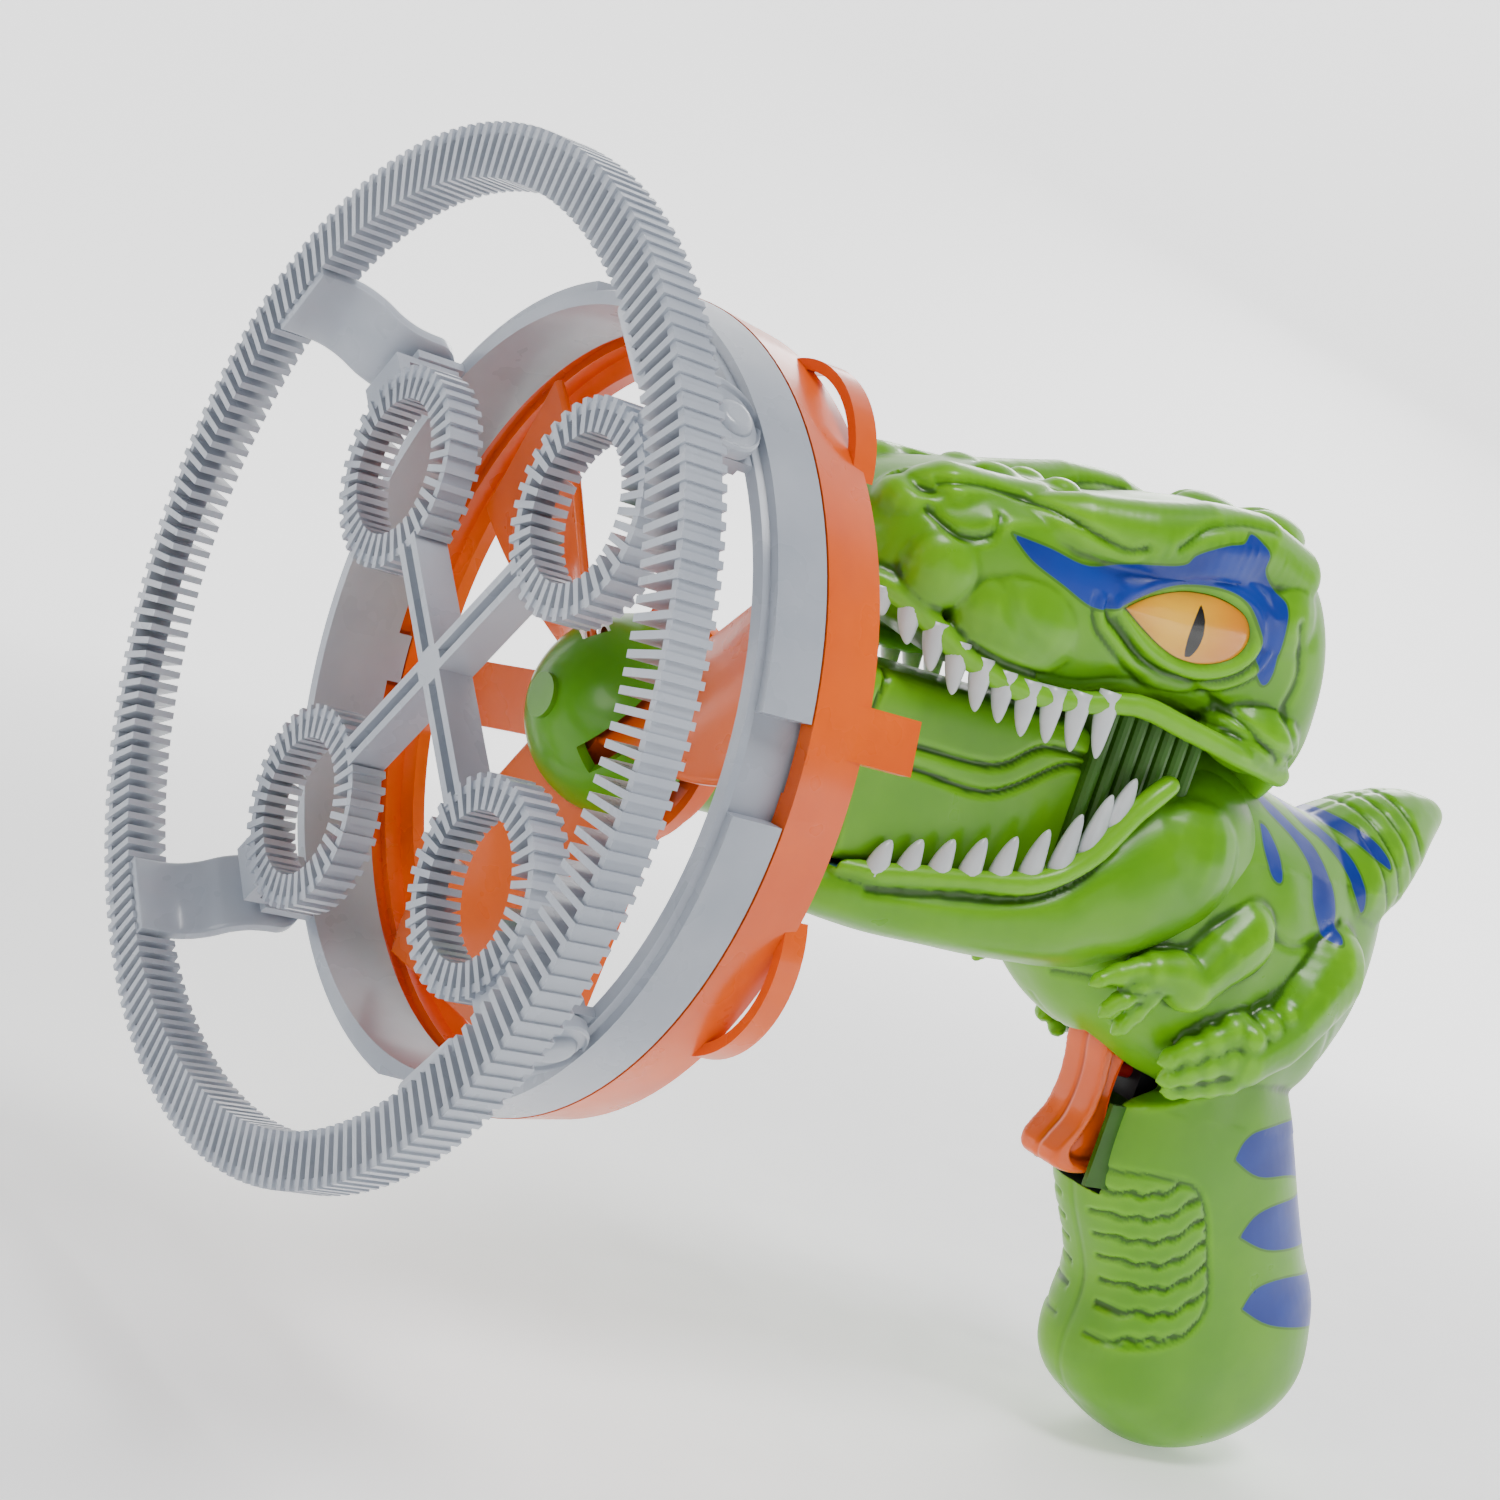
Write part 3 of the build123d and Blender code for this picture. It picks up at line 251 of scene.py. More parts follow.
def grip_skin(sections, count=60, sides=64, inset=0.0):
    angles = np.linspace(0, 2 * math.pi, sides, endpoint=False)
    rings = []
    for s, front, rear, half, square in eased(sections, count):
        c, n = np.cos(angles), np.sin(angles)
        x = (half - inset) * np.sign(c) * np.abs(c) ** (2 / square)
        t = (front + rear) / 2 + ((rear - front) / 2 - inset) * np.sign(n) * np.abs(n) ** (2 / square)
        rings.append(GRIP_TOP + np.outer(np.ones(sides), GRIP_DOWN) * s + np.outer(t,
            GRIP_BACK) + np.outer(x, [1, 0, 0]))
    return tube_of(rings)


def ball(centre, radii, turn=None, sides=20):
    """Ellipsoid; turn is a 3x3 rotation."""
    angles = np.linspace(0, 2 * math.pi, sides, endpoint=False)
    rings = []
    for lat in np.linspace(-math.pi / 2 + 0.12, math.pi / 2 - 0.12, 12):
        ring = np.stack([np.cos(lat) * np.cos(angles), np.cos(lat) * np.sin(angles),
            np.full(sides, math.sin(lat))], 1)
        rings.append(ring)
    verts, faces = tube_of(rings)
    verts[-2] = (0, 0, -1)
    verts[-1] = (0, 0, 1)
    verts = verts * np.array(radii if np.ndim(radii) else (radii,) * 3)
    if turn is not None:
        verts = verts @ np.array(turn).T
    return verts + np.array(centre), faces


def beads(spots, step=0.3):
    """Balls strung along a path of (x, y, z, radius)."""
    spots = np.array(spots, float)
    made = []
    for a, b in zip(spots[:-1], spots[1:]):
        length = np.linalg.norm(b[:3] - a[:3])
        count = max(2, int(length / (step * max(0.8, min(a[3], b[3])))) + 1)
        for f in np.linspace(0, 1, count):
            p = a + (b - a) * f
            made.append(ball(p[:3], p[3], sides=14))
    return made


def both(shape):
    """A shape and its mirror image."""
    verts, faces = shape
    return [shape, (verts * np.array([-1, 1, 1]), [tuple(reversed(f)) for f in faces])]


def rod(points, radius, sides=12):
    """Round bar along points in space, with flat ends."""
    points = np.array(points, float)
    radii = np.full(len(points), radius) if np.ndim(radius) == 0 else np.array(radius, float)
    heading = np.gradient(points, axis=0)
    heading /= np.linalg.norm(heading, axis=1)[:, None]
    rings = []
    up = np.array([0.31, 0.17, 0.93])
    for p, d, r in zip(points, heading, radii):
        u = np.cross(d, up)
        u /= np.linalg.norm(u)
        v = np.cross(d, u)
        a = np.linspace(0, 2 * math.pi, sides, endpoint=False)
        rings.append(p + r * (np.outer(np.cos(a), u) + np.outer(np.sin(a), v)))
    return tube_of(rings)


def box_shape(low, high):
    """Closed box between two corners."""
    x, y, z = zip(low, high)
    rings = [
        [(x[0], y[k], z[0]), (x[1], y[k], z[0]), (x[1], y[k], z[1]), (x[0], y[k], z[1])]
        for k in (0, 1)
    ]
    return tube_of(rings)


def grip_block(s, t, x):
    """Box in the grip's own directions: down it, across it from front to back, and sideways."""
    rings = [
        [grip_point(x[0], s[k], t[0]), grip_point(x[1], s[k], t[0]), grip_point(x[1], s[k], t[1]),
        grip_point(x[0], s[k], t[1])]
        for k in (0, 1)
    ]
    return tube_of(rings)


def made(name, shapes, smooth=True):
    """Mesh object in metres from shapes in millimetres."""
    verts, faces, start = [], [], 0
    for v, f in shapes:
        verts.append(np.asarray(v) * MM)
        faces += [tuple(i + start for i in face) for face in f]
        start += len(v)
    mesh = bpy.data.meshes.new(name)
    mesh.from_pydata(np.vstack(verts).tolist(), [], faces)
    obj = bpy.data.objects.new(name, mesh)
    bpy.context.collection.objects.link(obj)
    work = bmesh.new()
    work.from_mesh(mesh)
    bmesh.ops.recalc_face_normals(work, faces=work.faces)
    work.to_mesh(mesh)
    work.free()
    if smooth:
        mesh.shade_smooth()
    return obj


def joined(*shapes):
    """Shapes that only touch, as one."""
    verts, faces = [], []
    for v, f in shapes:
        faces += [tuple(i + len(verts) for i in face) for face in f]
        verts += list(v)
    return np.array(verts), faces


def settle(obj):
    """Applies every modifier."""
    graph = bpy.context.evaluated_depsgraph_get()
    mesh = bpy.data.meshes.new_from_object(obj.evaluated_get(graph))
    obj.modifiers.clear()
    old = obj.data
    obj.data = mesh
    bpy.data.meshes.remove(old)
    return obj


def fused(name, shapes, voxel, smoothing):
    """One outer skin round all the shapes."""
    obj = made(name, shapes)
    grid = obj.modifiers.new("grid", "REMESH")
    grid.mode = "VOXEL"
    grid.voxel_size = voxel * MM
    soft = obj.modifiers.new("soft", "SMOOTH")
    soft.iterations = smoothing
    soft.factor = 0.5
    settle(obj)
    obj.data.shade_smooth()
    return obj


def carved(obj, shapes, how="DIFFERENCE"):
    """Cuts with, or keeps within, other closed shapes."""
    for k, shape in enumerate(shapes):
        tool = made(f"tool_{k}", [shape], smooth=False)
        cut = obj.modifiers.new("cut", "BOOLEAN")
        cut.operation = how
        cut.solver = "MANIFOLD"
        cut.object = tool
        settle(obj)
        bpy.data.objects.remove(tool)
    return obj


def places(obj):
    """Vertices and normals, vertices in millimetres."""
    count = len(obj.data.vertices)
    co = np.empty(count * 3, np.float32)
    obj.data.vertices.foreach_get("co", co)
    normals = np.empty(count * 3, np.float32)
    obj.data.vertex_normals.foreach_get("vector", normals)
    return co.reshape(-1, 3).astype(float) / MM, normals.reshape(-1, 3).astype(float)


def moved(obj, co):
    obj.data.vertices.foreach_set("co", (co * MM).astype(np.float32).ravel())
    obj.data.update()


def tagged(obj, name, values):
    layer = obj.data.attributes.get(name) or obj.data.attributes.new(name, "FLOAT", "POINT")
    layer.data.foreach_set("value", np.asarray(values, np.float32))


def off_line(p, line):
    """Distance of points from a polyline."""
    line = np.array(line, float)
    best = np.full(len(p), 1e9)
    for a, b in zip(line[:-1], line[1:]):
        d = b - a
        f = np.clip(((p - a) @ d) / (d @ d), 0, 1)
        best = np.minimum(best, np.linalg.norm(p - a - f[:, None] * d, axis=1))
    return best


def inside_of(p, outline):
    """Signed distance from a closed outline, negative inside."""
    outline = eased(list(outline) + [outline[0]], len(outline) * 5)
    best = off_line(p, outline)
    flips = np.zeros(len(p), bool)
    for (ax, ay), (bx, by) in zip(outline, np.roll(outline, -1, 0)):
        crosses = (ay > p[:, 1]) != (by > p[:, 1])
        with np.errstate(divide="ignore", invalid="ignore"):
            reach = ax + (p[:, 1] - ay) / (by - ay) * (bx - ax)
        flips ^= crosses & (p[:, 0] < reach)
    return np.where(flips, -best, best)


def bell(d, width):
    return np.exp(-((d / width) ** 2))


def hollowness(obj, rounds):
    """How far each point lies below (positive) or above its smoothed surroundings, in millimetres."""
    co, normals = places(obj)
    ends = np.empty(len(obj.data.edges) * 2, np.int32)
    obj.data.edges.foreach_get("vertices", ends)
    ends = ends.reshape(-1, 2)
    degree = np.bincount(ends.ravel(), minlength=len(co))[:, None]
    soft = co
    for _ in range(rounds):
        total = np.empty_like(soft)
        for axis in range(3):
            total[:, axis] = np.bincount(ends[:, 0], soft[ends[:, 1], axis], len(co)) + np.bincount(
                ends[:, 1], soft[ends[:, 0], axis], len(co)
            )
        soft = 0.3 * soft + 0.7 * total / np.maximum(degree, 1)
    return np.einsum("ij,ij->i", soft - co, normals)


def dressed(obj, marks, grooves=(), ridges=(), swell=(), extra=None):
    """Presses grooves and ridges into a skin and paints its marks."""
    co, normals = places(obj)
    flat = co[:, 1:]
    side = np.abs(co[:, 0])
    push = np.zeros(len(co))
    for line, width, depth, near in grooves:
        push -= depth * bell(off_line(flat, eased(line, len(line) * 4)), width) * (side > near)
    for line, width, height, near in ridges:
        push += height * bell(off_line(flat, eased(line, len(line) * 4)), width) * (side > near)
    for centre, width, height, near in swell:
        push += height * bell(np.linalg.norm(flat - np.array(centre), axis=1), width) * (side > near)
    if extra is not None:
        push += extra(co, normals)
    moved(obj, co + normals * push[:, None])
    co, normals = places(obj)
    paint = np.full(len(co), 9.0)
    for outline, near in marks:
        d = inside_of(co[:, 1:], outline)
        paint = np.minimum(paint, np.where(np.abs(co[:, 0]) > near, d, np.maximum(d, 9.0)))
    tagged(obj, "paint", paint)
    # attributes for painted shade in hollows (recess) and a painted highlight on raised crowns (crown)
    near, wide = hollowness(obj, 6), hollowness(obj, 40)
    tagged(obj, "recess", np.clip(near / 0.16, 0, 1) * 0.6 + np.clip((wide - 0.05) / 0.9, 0, 1) * 0.6)
    tagged(obj, "crown", np.clip(-near / 0.14, 0, 1) * 0.5 + np.clip((-wide - 0.1) / 0.8, 0, 1) * 0.5)
    return obj


def placed(obj, body, slot, looks, *nodes):
    obj.data.materials.clear()
    obj.data.materials.append(MATS[looks] if isinstance(looks, str) else looks)
    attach(obj, body)
    if nodes:
        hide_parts(*nodes)
    return obj


# ------------------------------------------------------------------ head
HEAD = (
    (37.0, 34.0, 42.0, 6.0, 2.2),
    (42.0, 30.0, 48.5, 13.5, 2.3),
    (50.0, 28.0, 53.0, 17.5, 2.5),
    (60.0, 26.0, 55.5, 19.5, 2.6),
    (74.0, 22.5, 57.0, 21.0, 2.6),
    (86.0, 22.5, 57.5, 22.0, 2.5),
    (98.0, 25.0, 59.5, 23.5, 2.4),
    (110.0, 26.0, 62.5, 25.0, 2.4),
    (124.0, 24.0, 63.5, 25.2, 2.4),
    (134.0, 20.0, 58.5, 24.0, 2.4),
    (141.0, 14.0, 48.0, 20.0, 2.3),
    (144.5, 12.0, 36.0, 14.0, 2.2),
)
LIP = (
    (38.5, 32.5), (42.5, 33.0), (47.5, 31.6), (53.6, 28.8), (59.4, 26.2), (66.0, 24.4),
    (74.0, 23.2), (85.0, 23.8), (97.5, 26.4), (109.0, 25.0), (122.5, 23.2), (136.5, 21.6),
)
LIP_X = (11.5, 14.6, 16.8, 18.2, 19.2, 19.9, 20.4, 21.2, 23.0, 24.6, 25.0, 22.5)
BROW_MARK = (
    (60.8, 46.9), (69.1, 46.6), (77.3, 45.9), (85.5, 48.7), (93.5, 51.0), (95.3, 53.5), (100.1, 56.4),
    (104.0, 57.8),
    (105.6, 59.8), (108.4, 59.0), (111.0, 57.6), (111.8, 54.8), (116.6, 52.1), (119.3, 50.2), (120.6, 45.2),
    (122.4, 37.2), (120.6, 36.6), (117.6, 39.9), (115.7, 44.0), (110.5, 48.6), (103.9, 49.6), (95.1, 47.6),
    (88.5, 43.6), (84.4, 40.6), (80.0, 39.8), (73.2, 41.7), (65.8, 43.9),
)
EYE = (
    (86.4, 41.2), (89.0, 43.4), (92.6, 45.6), (98.2, 47.7), (105.1, 48.4), (111.7, 47.0), (114.7, 43.2),
    (113.2, 38.8), (108.1, 36.0), (102.0, 35.5), (96.4, 36.7), (91.4, 38.7),
)
PUPIL = ((101.4, 46.2), (100.9, 43.2), (101.0, 39.9), (102.3, 37.0), (103.6, 36.8), (104.0, 39.4),
    (103.3, 43.0))


def head_shapes():
    shapes = [lofted(HEAD)]
    rim = [(x - 1.6, y, z, 2.1) for x, (y, z) in zip(LIP_X, LIP)]
    rim = [tuple(r) for r in eased(rim, 30)]
    brow = [(13, 66, 50, 4), (17, 76, 52.2, 5.2), (19.0, 88, 53.6, 6.2), (19.6, 100, 56.0, 6.8),
        (19.4, 112, 57.6, 6.6), (18.6, 124, 55.4, 6.0)]
    snout = [(8.5, 46, 45.5, 6), (9.5, 52, 48.5, 6.4), (10, 60, 50, 5.6), (10.5, 70, 51.5, 5)]
    for group in (rim, brow, snout):
        for shape in beads(group):
            shapes += both(shape)
    for centre, radii in (
        ((18.5, 128, 27), (7.5, 11, 7)),
        ((17.0, 70, 34), (5.5, 15, 9)),
        ((19.0, 122, 47), (7.5, 10, 10)),
        ((15.5, 52, 38), (4.5, 8, 7)),
        ((4.5, 66, 55), (3.4, 5.5, 2.4)),
        ((5.0, 80, 56.6), (3.0, 4.0, 2.2)),
        ((8.0, 126, 62), (6, 9, 4)),
    ):
        shapes += both(ball(centre, radii))
    return shapes


head = fused("head_skin", head_shapes(), 0.62, 5)
bare = BVHTree.FromObject(head, bpy.context.evaluated_depsgraph_get())


def flank(y, z, tree=None):
    """Half width of the head at one spot, in millimetres."""
    hit = (tree or bare).ray_cast(Vector((0.2, y * MM, z * MM)), Vector((-1, 0, 0)))
    return hit[0].x / MM if hit[0] else 20.0


def head_extra(co, normals):
    """Eye sockets with raised lids, nostrils, the top recess and soft lumps."""
    flat = co[:, 1:]
    side = np.abs(co[:, 0])
    eye = inside_of(flat, EYE)
    on_side = side > 15
    push = np.where(on_side, -1.5 * np.clip((0.1 - eye) / 1.2, 0, 1), 0)
    push += np.where(on_side, 0.85 * bell(eye - 1.3, 1.0), 0)
    below = (flat[:, 1] < 42) & on_side
    push += np.where(below, -0.55 * bell(eye - 3.2, 0.6) + 0.4 * bell(eye - 4.6, 0.9), 0)
    push += np.where(below, -0.4 * bell(eye - 6.0, 0.6), 0)
    nostril = np.linalg.norm((co - np.array([0, 45.6, 49.8])) * np.array([0, 1, 1.8]), axis=1)
    push -= np.where((side > 7) & (side < 17), 1.8 * bell(nostril, 2.6), 0)
    oval = np.hypot((side - 6.5) / 1.6, (co[:, 1] - 57.5) / 3.6)
    push -= np.where(co[:, 2] > 48, 1.1 * np.clip(1.25 - oval, 0, 1), 0)
    seam = np.abs(side - 9.0)
    on_top = (co[:, 2] > 50) & (co[:, 1] > 72) & (co[:, 1] < 130)
    push -= np.where(on_top, 0.5 * bell(seam, 0.45), 0)
    push -= np.where((co[:, 2] > 50) & (side < 9.2), 0.5 * bell(co[:, 1] - 72,
        0.45) + 0.5 * bell(co[:, 1] - 130, 0.45), 0)
    lump = np.sin(co[:, 1] * 0.31 + 1.0) * np.sin(co[:, 2] * 0.37) * np.cos(side * 0.21)
    return push + 0.22 * lump


head_grooves = (
    (((47.6, 51.3), (54.3, 52.7), (61.3, 53.2), (68.1, 52.9), (75.6, 51.2), (81.8, 50.4), (85.2, 51.6)),
    0.7, 0.8, 9),
    (((46.3, 46.2), (51.5, 44.0), (56.7, 45.2), (58.6, 48.6)), 0.9, 0.7, 9),
    (((85.7, 39.6), (94.3, 34.2), (105.5, 32.6), (116.9, 30.6), (124.6, 26.9), (130.8, 24.2)), 0.8, 0.75,
    14),
    (((62, 38), (66, 33), (75, 29.5), (88, 29.5), (98, 31.0)), 1.6, 0.35, 14),
    (((91.5, 53.6), (96.0, 58.2), (104.0, 61.0), (112.0, 61.8)), 0.8, 0.6, 12),
    (((124, 48), (128.5, 40), (129.5, 33), (135.0, 27.0)), 0.9, 0.6, 14),
    (((60.0, 27.8), (70, 26.4), (85, 26.6), (97, 29.4), (109, 28.0), (123, 26.4), (137, 24.8)), 0.7, 0.45,
    12),
)
head_ridges = (
    (((86.0, 44.6), (93.5, 49.2), (101.5, 51.8), (110.5, 51.6), (117.0, 47.6)), 1.5, 0.8, 14),
    (((58.0, 47.6), (66.0, 49.4), (76.0, 48.6), (84.0, 49.8)), 1.6, 0.6, 12),
)
dressed(head, [(BROW_MARK, 12.5)], head_grooves, head_ridges, (), head_extra)
carved(head, [box_shape((-14.2, 43.5, 10.0), (14.2, 107, 22.5))])
placed(head, "toy", "head_left", "skin", "head_left", "head_right", "skull_cap")


def eye_look():
    s = Shade("eye_paint")
    glow = s.spread(s.attribute("depth"), 0.0, 1.0)
    colour = s.mixed(glow, linear("dc8400"), linear("f4b820"))
    colour = s.mixed(s.spread(s.noise(240.0), 0.45, 0.8, 0.0, 0.25), colour, linear("d98a24"))
    colour = s.mixed(s.spread(s.attribute("rim"), -0.75, -0.45), colour, linear("2c4d12"))
    colour = s.mixed(s.spread(s.attribute("pupil"), 0.1, -0.1), colour, linear("0d0d0c"))
    return s.finish(colour, 0.18, 300.0, 0.03, 0.8)


eye_mat = eye_look()
for side, word in SIDES.items():
    outline = eased(list(EYE) + [EYE[0]], 72)[:-1]
    middle = np.array([101.0, 42.0])
    rings = []
    for reach in (1.0, 1.0, 0.95, 0.88, 0.78, 0.66, 0.52, 0.38, 0.22, 0.08):
        spots = middle + (outline - middle) * reach
        dome = 1.1 * math.sqrt(max(0.0, 1 - reach**2))
        deep = 3.2 if len(rings) == 0 else 0.9
        rings.append([(side * (flank(y, z) - deep + dome), y, z) for y, z in spots])
    eye = made(f"eye_cap_{word}", [tube_of(rings)])
    co, _ = places(eye)
    tagged(eye, "pupil", inside_of(co[:, 1:], PUPIL))
    tagged(eye, "rim", inside_of(co[:, 1:], EYE))
    tagged(eye, "depth", np.clip(1 - np.linalg.norm(co[:, 1:] - np.array([97.5, 41.0]), axis=1) / 15, 0, 1))
    placed(eye, "toy", f"eye_{word}", eye_mat, f"eye_{word}")

# ------------------------------------------------------------------ jaw
JAW = (
    (42.5, -20.5, -14.5, 8.0, 2.3),
    (47.0, -22.4, -12.6, 13.0, 2.5),
    (54.0, -23.6, -11.6, 16.6, 2.6),
    (66.0, -24.4, -10.4, 19.0, 2.7),
    (78.0, -24.4, -9.0, 20.6, 2.7),
    (88.0, -24.4, -7.0, 21.6, 2.6),
    (98.0, -24.4, -0.5, 22.4, 2.5),
    (108.0, -24.2, 10.0, 23.2, 2.4),
    (118.0, -22.6, 17.0, 23.8, 2.3),
    (130.0, -17.6, 20.6, 22.6, 2.2),
    (140.0, -9.6, 18.4, 18.6, 2.1),
    (145.5, -3.0, 12.0, 13.0, 2.1),
)
JAW_LIP = ((14.6, 53.0, -13.2), (16.6, 58.8, -12.9), (17.4, 64.6, -12.0), (18.2, 70.6, -10.9),
    (19.0, 76.6, -9.9), (19.7, 82.6, -9.1),
           (20.4, 88.6, -7.9), (21.0, 94.2, -5.4), (21.4, 99.0, -1.4), (21.6, 103.0, 4.2),
           (21.4, 107.0, 9.8), (20.8, 112.0, 14.6))
jaw_shapes = [lofted(JAW)]
for shape in beads([(x - 0.4, y, z, 2.0) for x, y, z in eased(JAW_LIP, 30)]):
    jaw_shapes += both(shape)
jaw_shapes += both(ball((16.5, 124, 2), (8, 13, 12)))
jaw = fused("jaw_skin", jaw_shapes, 0.62, 5)
jaw_grooves = (
    (((58, -15.8), (70, -14.2), (82, -12.4), (92, -9.6), (99, -4.6), (104.5, 1.6)), 0.9, 0.45, 12),
    (((112.0, -19.0), (122.0, -16.0), (131.0, -10.5), (138.0, -3.0)), 1.4, 0.35, 12),
)


def jaw_extra(co, normals):
    lump = np.sin(co[:, 1] * 0.27) * np.sin(co[:, 2] * 0.33 + 1.2)
    return 0.2 * lump - 0.45 * bell(co[:, 0], 0.4) * (co[:, 2] < -10)


dressed(jaw, [], jaw_grooves, (), (), jaw_extra)
carved(jaw, [box_shape((-15.4, 43.8, -13.4), (15.4, 107, 40))])
placed(jaw, "toy", "jaw_left", "skin", "jaw_left", "jaw_right")


# ------------------------------------------------------------------ teeth
def tooth(base, tip, across, wide):
    """Curved cone with an oval foot."""
    base, tip = np.array(base, float), np.array(tip, float)
    heading = tip - base
    rings = []
    angles = np.linspace(0, 2 * math.pi, 18, endpoint=False)
    for f in (-0.22, 0.0, 0.15, 0.32, 0.5, 0.66, 0.8, 0.9, 0.97, 1.0):
        size = math.sqrt(max(0.0, 1 - max(f, 0) ** 1.25)) * (1.0 if f >= 0 else 0.92)
        centre = base + heading * f + np.array([0, 0.9, 0]) * max(f, 0) ** 2
        size = max(size, 0.06)
        rings.append(centre + np.outer(np.cos(angles) * across * size,
            [1, 0, 0]) + np.outer(np.sin(angles) * wide * size, [0, 1, 0]))
    return tube_of(rings)


UPPER = (
    (14.8, 43.2, 31.6, 3.8), (16.6, 48.6, 30.4, 5.8), (17.9, 54.0, 28.2, 6.6), (18.8, 59.2, 26.2, 7.2),
    (19.5, 64.4, 24.8, 7.4),
    (19.9, 69.6, 23.9, 7.2), (20.3, 75.0, 23.4, 7.8), (20.7, 80.4, 23.5, 7.8), (21.2, 85.8, 23.9, 8.4),
    (21.8, 91.4, 25.2, 9.6),
)
LOWER = (
    (17.0, 58.8, -12.0, 5.2), (17.6, 64.6, -11.2, 5.8), (18.3, 70.6, -10.2, 6.2), (19.0, 76.6, -9.2, 6.8),
    (19.6, 82.6, -8.2, 7.4),
    (20.1, 88.6, -6.6, 8.4), (20.6, 94.2, -3.8, 9.6), (20.8, 99.2, 0.8, 9.6), (20.8, 103.2, 6.2, 8.0),
)
for side, word in SIDES.items():
    row = []
    for x, y, z, tall in UPPER:
        row.append(tooth((side * (x - 1.0), y, z), (side * (x - 1.4), y + 1.0, z - tall), 1.7, 2.35))
    strip = [(side * (x - 1.2), y, z + 0.6) for x, y, z, _ in UPPER]
    row.append(rod(eased(strip, 40), 1.25))
    placed(made(f"upper_tooth_strip_{word}", row), "toy", f"upper_teeth_{word}", "tooth",
        f"upper_teeth_{word}")
    row = []
    for x, y, z, tall in LOWER:
        row.append(tooth((side * (x - 0.6), y, z), (side * (x - 0.9), y + 0.4, z + tall), 1.6, 2.4))
    strip = [(side * (x - 0.6), y, z - 0.9) for x, y, z, _ in LOWER]
    row.append(rod(eased(strip, 40), 1.2))
    placed(made(f"lower_tooth_strip_{word}", row), "toy", f"lower_teeth_{word}", "tooth",
        f"lower_teeth_{word}")

# ------------------------------------------------------------------ pod in the mouth
POD = (
    (44.2, -12.6, 19.6, 14.0, 7.0),
    (45.6, -12.9, 19.9, 14.8, 8.0),
    (60.0, -12.9, 19.9, 14.9, 9.0),
    (104.0, -12.9, 19.9, 14.9, 9.0),
    (105.8, -12.8, 19.8, 14.8, 9.0),
)
pod = fused("pod_skin", [lofted(POD, 60, 96), rod([(0, y, 0) for y in np.linspace(23.2, 46, 12)], 11.9,
    48)], 0.6, 1)
pod_grooves = (
    (((44, 8.6), (60, 8.9), (77.5, 9.3), (87.0, 14.6), (100, 14.8)), 0.55, 1.0, 11),
    (((44, 5.6), (62, 5.2), (78.7, 4.8), (92.5, 12.6), (100, 12.8)), 0.55, 1.0, 11),
    (((51.0, 22), (48.8, 14), (48.6, 4), (50.0, -8), (52, -16)), 0.45, 0.8, 11),
)
dressed(pod, [], pod_grooves)
placed(pod, "toy", "barrel_upper", "skin", "barrel_upper", "barrel_lower")

# ribs and a block inside the mouth, in dark green as painted shade
ribs = []
for k in range(7):
    y = 98.0 + 3.6 * k
    ribs.append(rod([(15.6, y, z) for z in np.linspace(2, 24, 10)], 1.5))
    ribs.append(rod([(-15.6, y, z) for z in np.linspace(2, 24, 10)], 1.5))
ribs.append(box_shape((-15.4, 96.5, -8), (15.4, 121, 25)))
placed(made("inner_cheeks", ribs, smooth=False), "toy", "jaw_left", "painted_shade_green")

# ------------------------------------------------------------------ body, tail, limbs and grip
TORSO = (
    (106.5, -21.0, 17.5, 14.6, 2.5),
    (112.0, -26.5, 19.5, 17.0, 2.4),
    (120.0, -32.0, 21.5, 19.0, 2.3),
    (134.0, -37.4, 22.0, 20.6, 2.3),
    (150.0, -42.0, 18.2, 20.4, 2.3),
    (164.0, -45.0, 15.8, 18.8, 2.3),
    (178.0, -44.0, 14.2, 15.6, 2.2),
    (188.0, -36.0, 12.0, 11.6, 2.2),
    (194.6, -22.0, 6.0, 6.0, 2.1),
)
GRIP = (
    (-14.0, -27.5, 12.0, 14.6, 2.6),
    (-4.0, -33.0, 14.4, 15.0, 2.6),
    (6.0, -34.6, 15.4, 15.3, 2.7),
    (24.0, -33.6, 15.8, 15.4, 2.8),
    (36.0, -40.2, 16.6, 16.2, 2.8),
    (43.0, -41.0, 17.6, 16.8, 2.8),
    (50.0, -38.2, 17.6, 16.8, 2.7),
    (61.0, -30.8, 15.0, 15.6, 2.5),
    (67.0, -21.0, 9.4, 11.6, 2.3),
    (69.4, -14.0, 3.6, 6.0, 2.1),
)
TAIL = [
    (0, 172.0, 0.0, 14.4), (0, 180.0, 4.2, 14.4), (0, 186.0, 9.2, 12.8), (0, 191.0, 13.6, 10.4),
    (0, 195.0, 16.8, 8.0),
    (0, 198.6, 19.0, 5.9), (0, 201.6, 20.4, 4.2), (0, 203.8, 21.0, 2.8),
]
ARM = [(17.6, 143.5, -8.4, 7.6), (19.6, 138.0, -12.5, 6.6), (20.8, 132.6, -18.4, 5.4)]
FOREARM = [(21.4, 132.0, -18.6, 5.0), (21.6, 127.6, -17.4, 4.3), (21.2, 123.0, -17.8, 3.9)]
FINGERS = (
    [(21.0, 122.0, -17.6, 2.5), (20.8, 117.4, -19.0, 2.0), (20.4, 113.6, -20.6, 1.7),
    (20.0, 110.4, -22.6, 0.8)],
    [(21.4, 122.6, -19.4, 2.5), (21.4, 119.0, -22.4, 2.0), (21.0, 116.6, -25.0, 1.6),
    (20.4, 114.8, -27.6, 0.8)],
    [(21.0, 124.4, -20.2, 2.5), (21.2, 123.2, -24.0, 2.0), (20.8, 121.4, -27.2, 1.6),
    (20.2, 119.6, -30.2, 0.8)],
)
LEG = [(13.0, 171.0, -12.0, 10.5), (16.0, 166.0, -18.0, 9.0), (18.0, 160.0, -25.0, 7.4),
    (19.0, 154.0, -29.5, 6.4)]
